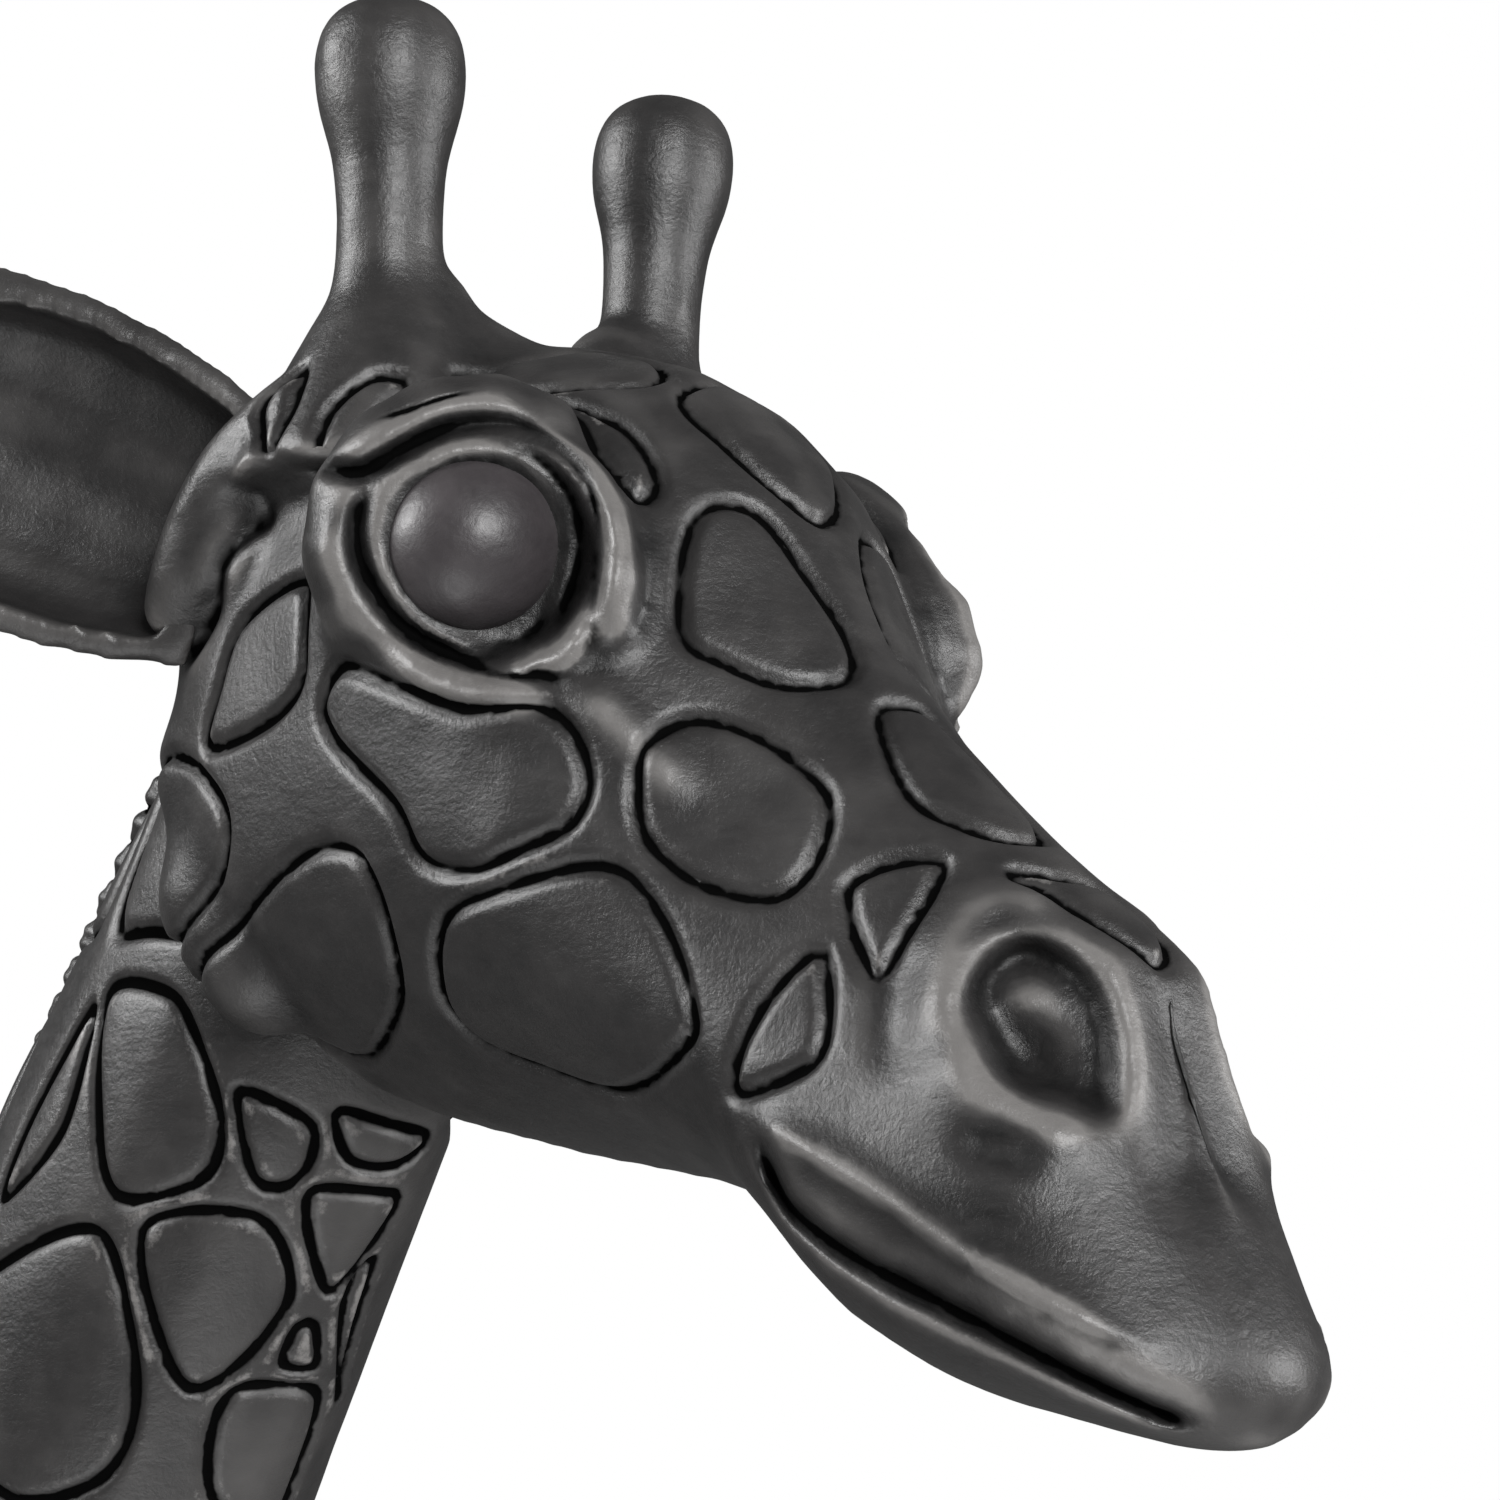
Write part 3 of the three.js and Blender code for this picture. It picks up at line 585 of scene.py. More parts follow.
# Throat and cheek-side patches of the upper neck, in mm from the middle of the neck's top joint
NECK_PATCHES = [
    [(-27, 26, -28), (-26, 13, -29), (-25, 8, -35), (-21, 6, -48), (-21, 11, -56), (-26, 24, -57),
     (-27, 27, -44)],
    [(-20, 3, -44), (-12, -4, -49), (-11, 0, -56), (-16, 4, -56)],
    [(-9, -7, -47), (8, -6, -49), (4, -4, -53), (-5, -4, -53)],
    [(-24, 20, -62), (-14, 6, -61), (-6, 8, -72), (-12, 18, -84), (-18, 21, -81)],
    [(-9, 0, -58), (6, -1, -57), (6, 2, -62), (0, 6, -71)],
    [(-3, 10, -76), (0, 9, -76), (3, 13, -81), (-3, 13, -81)],
    [(-32, 58, -72), (-29, 46, -65), (-26, 28, -62), (-22, 25, -76), (-19, 28, -89), (-20, 35, -97),
     (-26, 48, -99), (-31, 58, -88)],
    [(-10, 20, -89), (-7, 16, -84), (6, 16, -85), (8, 24, -97), (6, 28, -104), (-6, 25, -100)],
    [(-28, 50, -56), (-28, 35, -47), (-27, 30, -30), (-27, 37, -36), (-27, 46, -47)],
    [(4, 8, -72), (7, 5, -66), (9, 11, -76), (12, 19, -85)],
]


def coat(piece, seeds, groove, drawn=()):
    """Outline rounded patches round the seeds, and the drawn patches where there are any."""
    mesh = piece.data
    points, normals = points_of(mesh), normals_of(mesh)
    local = patch_spacing(points)
    wobble = np.sin(points[:, [1, 2, 0]] * 95 + 1.3) + 0.6 * np.sin(points[:, [2, 0, 1]] * 210 + 0.4)
    warped = points + wobble * local[:, None] * WOBBLE_SHARE
    border = np.full(len(points), 1e9)
    owner = np.zeros(len(points), dtype=int)
    seed_size = patch_spacing(seeds)
    batch = 20000
    for start in range(0, len(points), batch):
        part = slice(start, start + batch)
        gaps = np.linalg.norm(warped[part, None, :] - seeds[None, :, :], axis=2) / seed_size
        owner[part] = np.argmin(gaps, axis=1)
        nearest = np.sort(gaps, axis=1)[:, :5]
        crowd = np.exp(-CORNER_SHARPNESS * (nearest[:, 1:] - nearest[:, 1:2])).sum(axis=1)
        rest = -np.log(crowd) / CORNER_SHARPNESS + nearest[:, 1]
        border[part] = (rest - nearest[:, 0]) * local[part] * 0.5
    level = border - BORDER_SHARE * local
    tree = BVHTree.FromObject(piece, bpy.context.evaluated_depsgraph_get())
    grown = level > 0
    taken = np.zeros(len(points), dtype=bool)
    to_drawn = np.full(len(points), 1.0)
    for marks in drawn:
        curve = neck_top + curve_through(marks, 1.5, True) * MM
        line = np.array([tree.find_nearest(Vector(p))[0] for p in curve])
        low, high = line.min(axis=0) - 20 * MM, line.max(axis=0) + 20 * MM
        near = np.flatnonzero(np.all((points > low) & (points < high), axis=1))
        gap, _ = distance_to(points[near], line, True)
        centre = line.mean(axis=0)
        sides = np.linalg.svd(line - centre, full_matrices=False)[2]
        within = inside((points[near] - centre) @ sides[:2].T, (line - centre) @ sides[:2].T)
        within &= normals[near] @ normals[near][np.argmin(gap)] > 0.1
        taken[near] |= within
        to_drawn[near] = np.minimum(to_drawn[near], gap)
        level[near] = np.where(within, gap, level[near])
    if len(drawn):
        # what the drawn patches leave of the others stays only where most of a patch is left
        level = np.where(taken, level, np.minimum(level, to_drawn - DRAWN_BORDER))
        whole = np.bincount(owner[grown], minlength=len(seeds))
        left = np.bincount(owner[grown & ~taken & (level > 0)], minlength=len(seeds))
        scraps = (left < SCRAP_BELOW * whole)[owner] & ~taken
        level[scraps] = -1.0
        edge = ~taken & (to_drawn < 4 * groove[1])
        level[edge] = np.maximum(level[edge], -to_drawn[edge])
    depth, width = groove
    fade = soft_step(points[:, 2], ground + 0.10, ground + 0.24)
    sink = -depth * np.exp(-((level / width) ** 2)) + 0.3 * depth * soft_step(level, 0, 6 * width)
    set_points(mesh, points + normals * (sink * fade)[:, None])


def scatter(points, spacing, rng):
    """Seeds at least a spacing apart, picked from the points in a shuffled order."""
    most_tries = 9000
    picked = np.empty((0, 3))
    for index in rng.permutation(len(points))[:most_tries]:
        point = points[index]
        if len(picked) == 0 or np.min(np.linalg.norm(picked - point, axis=1)) > spacing[index]:
            picked = np.vstack([picked, point])
    return picked


rng = np.random.default_rng(11)
skin_points = points_of(body.data)
seeds = scatter(skin_points, patch_spacing(skin_points), rng)
drawn_middles = neck_top + np.array([np.mean(marks, axis=0) for marks in NECK_PATCHES]) * MM
clear = np.min(np.linalg.norm(seeds[:, None] - drawn_middles[None], axis=2), axis=1) > DRAWN_APART
seeds = np.vstack([seeds[clear], drawn_middles])


def split_near(piece, point, reach):
    """Split the faces near a point once more, for finer cuts there."""
    bm = bmesh.new()
    bm.from_mesh(piece.data)
    some = [e for e in bm.edges if (e.verts[0].co - Vector(point)).length < reach]
    bmesh.ops.subdivide_edges(bm, edges=some, cuts=1, use_grid_fill=True, smooth=0.6)
    bmesh.ops.triangulate(bm, faces=[f for f in bm.faces if len(f.verts) > 4])
    bm.to_mesh(piece.data)
    bm.free()


LEG_FACES, LONG_FACES = 90000, 190000
SPARE_LENGTH = 8
FINE_NECK = 150 * MM


def piece_of_body(name, planes, keep, groove, most, drawn=()):
    """Cut one piece out of the carved blank a little long, refine and outline it, then saw it to length."""
    bm = bmesh.new()
    bm.from_mesh(body.data)
    for point, way in planes:
        bmesh.ops.bisect_plane(bm, geom=[*bm.verts, *bm.edges, *bm.faces], dist=1e-7,
                               plane_co=Vector(np.array(point) + np.array(way) * SPARE_LENGTH * MM),
                               plane_no=Vector(way), clear_outer=True)
    if keep:
        bmesh.ops.delete(bm, geom=[v for v in bm.verts if not keep(v.co)], context="VERTS")
    mesh = bpy.data.meshes.new(name)
    bm.to_mesh(mesh)
    bm.free()
    piece = put_in_scene(name, mesh)
    note(piece, "form", 10, 1.2)
    finer(piece)
    if drawn:
        split_near(piece, neck_top, FINE_NECK)
    coat(piece, seeds, groove, drawn)
    note(piece, "relief", 8, groove[0] / MM * 0.3)
    thinned(piece, most)
    sawn = bmesh.new()
    sawn.from_mesh(piece.data)
    for point, way in planes:
        cut_off(sawn, point, way)
    sawn.to_mesh(piece.data)
    sawn.free()
    smoothly_shaded(piece)
    wear_finish(piece, stained_wood)
    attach(piece, "root")
    return piece


leg_top = ((0, 0, joint_height), (0, 0, 1))
BETWEEN_LEGS = 0.018
for place, across_sign, along_sign in zip(SIDES, (-1, 1, -1, 1), (-1, -1, 1, 1)):
    leg = piece_of_body("leg_carved_" + place, [leg_top],
                        lambda co: co.x * across_sign > 0 and (co.y - BETWEEN_LEGS) * along_sign > 0,
                        (1.1 * MM, 1.1 * MM), LEG_FACES)
    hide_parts("leg_" + place)

trunk = piece_of_body("trunk_carved", [((0, 0, joint_height), (0, 0, -1)), (neck_base, base_way)],
                      None, (1.7 * MM, 1.5 * MM), LONG_FACES)
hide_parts("trunk")

neck = piece_of_body("neck_carved", [(neck_base, -base_way), (neck_top, top_way)],
                     None, (1.15 * MM, 1.05 * MM), LONG_FACES, NECK_PATCHES)
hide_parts("neck")
bpy.data.objects.remove(body)


# Tail: a thin carved rod pegged into the rump. It ends in a tuft below two rings, and the tuft is
# cut into long locks with a V-tool.

TAIL_CELL = 1.3 * MM
TAIL_LOCKS = 11
TAIL_FACES = 60000
tail = refill("tail_carved", merged_copy("tail"), TAIL_CELL)
sand(tail, 12)
note(tail, "form", 10, 1.2)
finer(tail)
tail_low, tail_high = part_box("tail")
points, normals = points_of(tail.data), normals_of(tail.data)
drop = (tail_high.z - points[:, 2]) / (tail_high.z - tail_low.z)
in_tuft = soft_step(drop, 0.62, 0.72)
tuft_middle = points[drop > 0.75].mean(axis=0)
round_tail = np.arctan2(points[:, 0] - tuft_middle[0], points[:, 1] - tuft_middle[1])
locks = np.abs(np.sin(0.5 * TAIL_LOCKS * (round_tail + 2.2 * drop + 0.25 * np.sin(drop * 40))))
rings = np.exp(-(((drop - 0.665) / 0.004) ** 2)) + np.exp(-(((drop - 0.65) / 0.004) ** 2))
set_points(tail.data, points + normals * (in_tuft * (locks - 0.6) * 1.6 * MM - rings * 0.8 * MM)[:, None])
note(tail, "relief", 6, 0.35)
thinned(tail, TAIL_FACES)
smoothly_shaded(tail)
wear_finish(tail, stained_wood)
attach(tail, "root")
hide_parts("tail")


# Mane: a thin strip let into a groove down the back of the neck and glued, with short upright
# tufts cut into its edge and flanks.

MANE_CELL = 1.1 * MM
TUFT = 6.4 * MM
MANE_FACES = 120000
mane = refill("mane_carved", merged_copy("mane"), MANE_CELL)
sand(mane, 6)
note(mane, "form", 10, 1.2)
finer(mane)
points, normals = points_of(mane.data), normals_of(mane.data)
mane_low, mane_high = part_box("mane")
mane_way = np.array(mane_high - mane_low) * (0, -1, 1)
mane_way /= np.linalg.norm(mane_way)
mane_out = np.array([0, mane_way[2], -mane_way[1]])
run = points @ mane_way + 0.25 * (points @ mane_out) + 0.8 * MM * np.sin(points[:, 2] * 130)
beat = run / TUFT
tuft = np.abs(np.sin(np.pi * beat)) ** 0.6
strands = np.sin(np.pi * beat * 4 + 2.5 * np.sin(points[:, 2] * 210))
set_points(mane.data, points + normals * ((tuft - 0.75) * 1.5 * MM + strands * 0.16 * MM)[:, None])
note(mane, "relief", 6, 0.35)
thinned(mane, MANE_FACES)
smoothly_shaded(mane)
wear_finish(mane, stained_wood)
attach(mane, "root")
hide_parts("mane")


# Head: the largest carving, cut from one block and pegged to the neck.
# Brow, eyelids, nostrils and lips are worked with gouges, then each coat patch is outlined with a
# narrow veiner groove. It is stained near black and rubbed, so the raised edges show worn and pale; its rolls
# also carry a painted highlight, and its grooves and hollows painted shade.

EYE_OUT = (-2.0, 34.0, 1.5)
HEAD_PITCH = math.radians(33.2)
HEAD_CELL = 1.5 * MM
HEAD_FACES = 199000

ahead = np.array([0, -math.cos(HEAD_PITCH), -math.sin(HEAD_PITCH)])
above = np.array([0, -math.sin(HEAD_PITCH), math.cos(HEAD_PITCH)])


eyes_middle = (middle("eye_right") + middle("eye_left")) / 2
head_at = eyes_middle - (EYE_OUT[0] * ahead + EYE_OUT[2] * above) * MM


def to_head(points):
    """Millimetres forward, to the side and up from the middle of the brow, both sides folded into one."""
    away = (points - head_at) / MM
    return np.stack([away @ ahead, np.abs(away[:, 0]), away @ above], axis=1)


def from_head(marks, side=-1):
    marks = np.asarray(marks, dtype=float)
    across = np.outer(side * marks[:, 1], (1, 0, 0))
    return head_at + (np.outer(marks[:, 0], ahead) + across + np.outer(marks[:, 2], above)) * MM


def step_along(direction):
    """One millimetre along a direction given as forward, side and up, on the head's right."""
    return from_head([direction])[0] - from_head([(0, 0, 0)])[0]


def unfolded(folded, points):
    """Folded marks with the side turned negative again for the points on the head's left."""
    return folded * np.where(points[:, :1] > head_at[0], (1, -1, 1), (1, 1, 1))


class Facing:
    """A flat drawing board held against one region of the head, with its own right and up."""

    def __init__(self, centre, outward):
        self.centre = np.array(centre, dtype=float)
        self.out = np.array(outward) / np.linalg.norm(outward)
        right = np.cross(self.out, (0, 0, 1))
        self.right = right / np.linalg.norm(right)
        self.up = np.cross(self.right, self.out)
        self.up *= np.sign(self.up[2])

    def flat(self, folded):
        away = folded - self.centre
        return np.stack([away @ self.right, away @ self.up, away @ self.out], axis=1)

    def lifted(self, marks, height):
        marks = np.asarray(marks, dtype=float)
        return (
            self.centre
            + np.outer(marks[:, 0], self.right)
            + np.outer(marks[:, 1], self.up)
            + height * self.out
        )


class Skin:
    """The head's surface as it is now, for laying strokes on it."""

    def __init__(self, piece):
        self.piece = piece
        self.refresh()

    def refresh(self):
        mesh = self.piece.data
        self.points = points_of(mesh)
        self.normals = normals_of(mesh)
        self.folded = to_head(self.points)
        self.spread = unfolded(self.folded, self.points)
        self.tree = BVHTree.FromObject(self.piece, bpy.context.evaluated_depsgraph_get())
        self.move = np.zeros((len(self.points), 3))

    def laid(self, marks, board=None, step=1.2, closed=False, both=True):
        """A smooth line through the marks, dropped onto the surface."""
        curve = curve_through(marks, step, closed)
        if board is None:
            found = np.array([self.tree.find_nearest(Vector(p))[0] for p in from_head(curve)])
            line = to_head(found)
            return line if both else unfolded(line, found)
        towards = Vector(step_along(-board.out)).normalized()
        hits = [self.tree.ray_cast(Vector(p), towards)[0] for p in from_head(board.lifted(curve, 60))]
        return to_head(np.array([hit for hit in hits if hit is not None]))

    def near(self, line, reach, points):
        low, high = line.min(axis=0) - reach, line.max(axis=0) + reach
        return np.flatnonzero(np.all((points > low) & (points < high), axis=1))

    def way(self, some, board):
        """Which way the skin is pushed: out of it, or straight out of the board, mirrored on the left."""
        if board is None:
            return self.normals[some]
        out = np.tile(step_along(board.out), (len(some), 1)) / MM
        out[self.points[some, 0] > head_at[0], 0] *= -1
        return out

    def stroke(self, marks, height, width, board=None, closed=False, taper=0.16, flat=0.0, both=True):
        """Raise (or sink, below zero) a rounded line, in mm, on both sides or across the middle."""
        line = self.laid(marks, board, closed=closed, both=both)
        points = self.folded if both else self.spread
        thin, wide = width if isinstance(width, tuple) else (width, width)
        some = self.near(line, 3 * max(thin, wide) + flat, points)
        gap, along = distance_to(points[some], line, closed)
        rise = height * np.exp(-((np.maximum(gap - flat, 0) / (thin + (wide - thin) * along)) ** 2))
        if taper and not closed:
            rise *= soft_step(along, -0.03, taper) * soft_step(1 - along, -0.03, taper)
        self.move[some] += rise[:, None] * self.way(some, board)

    def press(self, marks, depth, edge, board):
        """Sink everything inside a closed outline, rounding over at the edge."""
        line = self.laid(marks, board, closed=True)
        some = self.near(line, 3 * edge, self.folded)
        gap, _ = distance_to(self.folded[some], line, True)
        outline = board.flat(line)[:, :2]
        signed = np.where(inside(board.flat(self.folded[some])[:, :2], outline), gap, -gap)
        sunk = depth * soft_step(signed, -0.4 * edge, edge)
        self.move[some] -= sunk[:, None] * self.way(some, board)

    def cut(self):
        """Move the surface by the strokes laid since the last cut."""
        self.points += self.move * MM
        set_points(self.piece.data, self.points)
        self.refresh()


def ball(bm, centre, radius):
    made = bmesh.ops.create_icosphere(bm, subdivisions=3, radius=radius)
    bmesh.ops.translate(bm, verts=made["verts"], vec=Vector(centre))


# lumps of extra wood at each side: forward, side, up and radius
SWELLS = [
    (-37, 22, -64, 13), (-27, 21, -68, 12), (-48, 22, -50, 13),
    (-52, 19, 18, 9), (-44, 12, 14, 9.5), (-40, 5, 12.5, 10),
    (-50, 30, -19, 11),
]
EAR_ROOT = [(-46, 36, 3), (-49, 37, -2), (-52, 38, -9), (-54, 38, -17), (-55, 37, -25), (-57, 35, -30)]
EAR_ROOT_RADIUS = 5.6 * MM
SOCKET_RADIUS = 12.0 * MM
LID_RING, LID_SUNK, LID_RADIUS, LID_LUMPS = 12.5, -5.6, 9.8 * MM, 14
HORN_SEAT = 1.0 * MM
THROAT, THROAT_RADIUS = (-46, 0, -50), 12 * MM
NAPE_SUNK, NAPE_RADIUS = 6.2, 7 * MM

eye_board = Facing(EYE_OUT, (0.775, 0.604, 0.187))
nose_board = Facing((101, 20, -12), (0.63, 0.736, 0.25))

block = merged_copy("head")
for side, node in ((-1, "horn_right"), (1, "horn_left")):
    horn = merged_copy(node)
    bmesh.ops.translate(horn, verts=horn.verts, vec=Vector((0, 0, -HORN_SEAT)))
    join_in(block, horn)
    ball(block, from_head([EYE_OUT], side)[0], SOCKET_RADIUS)
    for turn in np.arange(LID_LUMPS) * math.tau / LID_LUMPS:
        bed = eye_board.lifted([(LID_RING * math.cos(turn), LID_RING * math.sin(turn))], LID_SUNK)
        ball(block, from_head(bed, side)[0], LID_RADIUS)
    for spot in curve_through(EAR_ROOT, 1.5):
        ball(block, from_head([spot], side)[0], EAR_ROOT_RADIUS)
    for forward, out, up, radius in SWELLS:
        ball(block, from_head([(forward, out, up)], side)[0], radius * MM)
ball(block, from_head([THROAT])[0], THROAT_RADIUS)

# the slot that clears the mane is closed behind the skull
nape_tree = BVHTree.FromBMesh(block)
nape_way = np.array([0, math.cos(TOP_LEAN), math.sin(TOP_LEAN)])
for rise in np.arange(-4, 34, 2) * MM:
    beside = neck_top + top_way * rise + nape_way * 0.12 + np.array([8 * MM, 0, 0])
    hit = nape_tree.ray_cast(Vector(beside), Vector(-nape_way))[0]
    if hit is not None:
        centre = (0, hit.y - nape_way[1] * NAPE_SUNK * MM, hit.z - nape_way[2] * NAPE_SUNK * MM)
        ball(block, centre, NAPE_RADIUS)

head = refill("head_carved", block, HEAD_CELL)
sand(head, 26)
skin = Skin(head)
rough = np.zeros(len(skin.points))
for centre, reach in (((-36, 38, -6), 10), ((-50, 26, -48), 19), ((-38, 22, -68), 24), ((-44, 14, 14), 12)):
    rough = np.maximum(rough, 1 - soft_step(np.linalg.norm(skin.folded - centre, axis=1), 0.6 * reach, reach))
ease(head, 26, rough)
skin.refresh()


def seat_eye(skin):
    """Bed the lids round the eyeball: a low collar that the ball stands out of, and a groove round it."""
    flat = eye_board.flat(skin.folded)
    radius = np.hypot(flat[:, 0], flat[:, 1])
    some = np.flatnonzero((radius < 17) & (flat[:, 2] > -8))
    radius, height = radius[some], flat[some, 2]
    profile_radius = [0, 4, 7, 9.5, 10.6, 11.4, 12.8, 14.4, 17]
    profile_height = [10.6, 9.8, 8.0, 4.9, 4.1, 4.6, 4.7, 3.8, 4.0]
    target = np.interp(radius, profile_radius, profile_height)
    share = 1 - soft_step(radius, 13.2, 16.8)
    out = step_along(eye_board.out)
    push = (share * (target - height))[:, None] * out
    mirrored = skin.points[some, 0] > head_at[0]
    push[mirrored, 0] *= -1
    skin.points[some] += push
    set_points(skin.piece.data, skin.points)
    skin.refresh()


seat_eye(skin)

# rolls that stand well out
skin.stroke([(-24, 2), (-20, 5), (-16.4, 8.2), (-11, 13.6), (-5.5, 17.2), (0, 18.8), (5.5, 18.2),
             (11, 15.6), (15.6, 10.6),
             (18.6, 4.6), (20.2, -2.2), (20.8, -8)], 1.3, (2.0, 3.1), eye_board, taper=0.1, flat=0.4)
skin.stroke([(-19.7, -2.7), (-17, -7.7), (-13.2, -12.1), (-7.7, -15.2), (-1.1, -16.8), (5.5, -17),
             (11, -16), (16, -13.5)],
            1.7, 2.7, eye_board, taper=0.14)
skin.stroke([(16, -12), (21, -12.5), (26, -14.5), (31, -17), (36, -20)], 1.9, 3.4, eye_board, taper=0.3)
# nostril rim, the folds under it and the valley in front of it
skin.stroke([(-7.5, -6), (-9.2, -2), (-11, 4), (-10, 10), (-6, 13.3), (0, 13.3)], 2.0, 3.4, nose_board,
            taper=0.2)
skin.stroke([(-6, 13.3), (0, 13.3), (6, 11.5), (11, 7), (13.8, 1), (13, -5)], 0.8, 3.0, nose_board,
            taper=0.25)
skin.stroke([(-8, -5), (-2, -9), (3.5, -10), (8, -9), (12, -6)], 1.1, 3.0, nose_board, taper=0.2)
skin.press([(-6.5, -1.5), (-7, 4.8), (-3.6, 9.4), (2, 10), (7.2, 7.6), (11.8, 2), (13.6, -4.5), (9, -6.8),
            (1, -6.2)], 5.8, 3.4, nose_board)
skin.stroke([(-15, 4), (-14.5, -1), (-13, -6), (-9, -12)], -1.4, 3.2, nose_board, taper=0.3)
skin.stroke([(-2, -12.6), (3.5, -12.8), (9, -11)], -1.3, 3.0, nose_board, taper=0.4)
skin.stroke([(-5.5, -16), (0, -16.8), (6, -15.8), (12, -12)], 0.9, 3.4, nose_board, taper=0.4)
skin.stroke([(11.6, 13), (14.2, 8.7), (18.3, 2), (22.8, -6), (27.5, -14)], -3.0, 4.4, nose_board, taper=0.3)
# lips
skin.stroke([(-24, -22.2), (-19, -22.4), (-14, -22.4), (-5, -23.2), (4, -24.5), (10, -25), (17.5, -25.3),
             (22, -25)],
            1.6, 2.2, nose_board, taper=0.12)
skin.stroke([(-20, -26), (-18.5, -27.3), (-14, -29.9), (-6, -31.1), (2, -31.1), (12, -31.2), (22, -31.4),
             (33, -31.3)],
            -3.2, 1.8, nose_board, taper=0.04)
skin.cut()

finer(head)
skin = Skin(head)
sand(head, 4)
skin.refresh()
# the lips part
skin.stroke([(-21, -25), (-18.5, -27.3), (-14, -29.9), (-6, -31.1), (2, -31.1), (12, -31.2), (22, -31.4),
             (33, -31.3)],
            -1.6, 1.1, nose_board, taper=0.04)
skin.stroke([(-24, -22.4), (-14, -22.6), (-5, -23.4), (4, -24.7), (10, -25.2), (17.5, -25.5), (26, -25.2)],
            0.6, 0.9, nose_board, taper=0.12)
# creases round the lids, and the edges of the lids beside them
skin.stroke([(-25, 1), (-20.5, 2.2), (-16.4, 3.4), (-12.8, 8), (-8.2, 12.8), (-3.3, 15.2), (1.1, 15.9),
             (6.6, 14.6), (11, 11.5),
             (14, 6), (16, -1.1), (18.1, -7.7)], -3.0, (1.3, 1.9), eye_board, taper=0.1)
skin.stroke([(-15.2, 2.5), (-14.7, -2.7), (-12.4, -7.1), (-7.9, -10.9), (-3.3, -13.1), (1.1, -13.9),
             (7.1, -14), (11, -12.9),
             (13, -11.8), (17, -11.4)], -2.3, 1.35, eye_board, taper=0.12)
skin.stroke([(-11.6, -4.9), (-8.4, -8.4), (-3.6, -11.6), (0, -12.3), (4.4, -12.2), (8.4, -11),
             (11.6, -9.4), (14, -10)],
            0.9, 1.1, eye_board, taper=0.1)
skin.stroke([(-43, 35, -10), (-45.5, 36, -14), (-47, 36, -19), (-47.5, 36, -27), (-51, 35, -34),
             (-56, 33, -38)], -1.8, 1.6)
skin.stroke([(-10.6, 5.6), (-7, 9.6), (-1.6, 12), (4, 11.6), (8.6, 8.8), (11.4, 3.6), (12.3, -3),
             (12.8, -8.6)],
            0.8, 1.2, eye_board, taper=0.1)
skin.cut()
note(head, "form", 26, 0.9)
finer(head)
skin = Skin(head)

PATCHES = [
    [(-30, 42, 2), (-35, 39, 7), (-35, 34, 13), (-32, 31, 13), (-28, 38, 7)],
    [(-46, 38, 9), (-41, 41, 4), (-40, 43, -2), (-47, 41, 2)],
    [(-32, 24, 16), (-31, 15, 21), (-28, 6, 25), (-20, 3, 27), (-11, 8, 27), (-10, 14, 25), (-18, 21, 20)],
    [(-14, 23, 20), (-6, 21, 21), (1, 20, 22), (10, 20, 18), (11, 23, 15), (4, 25, 17)],
    [(17, 18, 16), (17, 11, 19), (24, 7, 17), (36, 4, 10), (42, 7, 6), (40, 14, 4), (34, 19, 3), (27, 22, 4)],
    [(-12, 41, -26), (-9, 42, -20), (5, 42, -17), (15, 40, -15), (25, 35, -10), (33, 33, -14), (35, 34, -20),
     (31, 36, -26), (25, 37, -32), (16, 38, -35), (8, 40, -31), (-7, 40, -29)],
    [(37, 29, -10), (37, 24, -4), (44, 19, -2), (55, 16, -4), (61, 19, -10), (61, 23, -16), (52, 27, -19),
     (43, 30, -17)],
    [(21, 35, -41), (29, 36, -33), (41, 32, -23), (50, 30, -24), (60, 28, -31), (61, 27, -37), (47, 20, -50),
     (33, 21, -54), (23, 24, -56), (19, 29, -52)],
    [(-23, 31, -63), (-12, 36, -50), (-4, 38, -43), (4, 38, -41), (10, 34, -47), (9, 27, -57), (-5, 16, -72),
     (-13, 16, -75), (-25, 20, -75), (-31, 23, -73)],
    [(-55, 29, -58), (-50, 32, -50), (-38, 36, -47), (-28, 36, -49), (-27, 34, -56), (-35, 30, -70),
     (-42, 28, -75), (-50, 28, -70)],
    [(-37, 37, -43), (-39, 38, -35), (-39, 38, -25), (-28, 39, -15), (-21, 40, -21), (-19, 40, -27),
     (-25, 39, -35)],
    [(67, 18, -11), (73, 12, -4), (78, 18, -13), (78, 21, -17)],
    [(71, 27, -37), (69, 26, -27), (70, 23, -19), (73, 22, -20), (79, 25, -26), (78, 26, -31)],
]

MIDDLE_PATCHES = [
    [(-9, 0, 29), (-7, 6, 28), (-2, 11, 27), (7, 10, 25), (16, 5, 22), (20, 0, 21), (16, -6, 22),
     (7, -11, 25), (-2, -9, 27)],
    [(50, 7, 5), (48, 3, 7), (50, -2, 7), (57, -4, 5), (68, -4, 3), (75, -1, 2), (75, 4, 1), (70, 8, 0),
     (62, 10, 0)],
    [(80, 8, -1), (83, 4, 0), (86, -3, 0), (94, -5, -2), (100, 0, -2), (93, 5, -1), (85, 7, -2)],
]
skin.stroke([(-18, 9.6), (-14, 12.6), (-10, 16), (-6, 18.6)], -0.9, 0.8, eye_board, taper=0.3)
skin.stroke([(-6, -14.6), (-1, -15.4), (5, -15.4), (10, -14.4)], 0.35, 0.5, eye_board, taper=0.3)
PATCH_GROOVE = (-1.3, 1.2)
for outline in PATCHES:
    skin.stroke(outline, *PATCH_GROOVE, closed=True)
for outline in MIDDLE_PATCHES:
    skin.stroke(outline, *PATCH_GROOVE, closed=True, both=False)
skin.cut()
note(head, "relief", 10, 0.35)
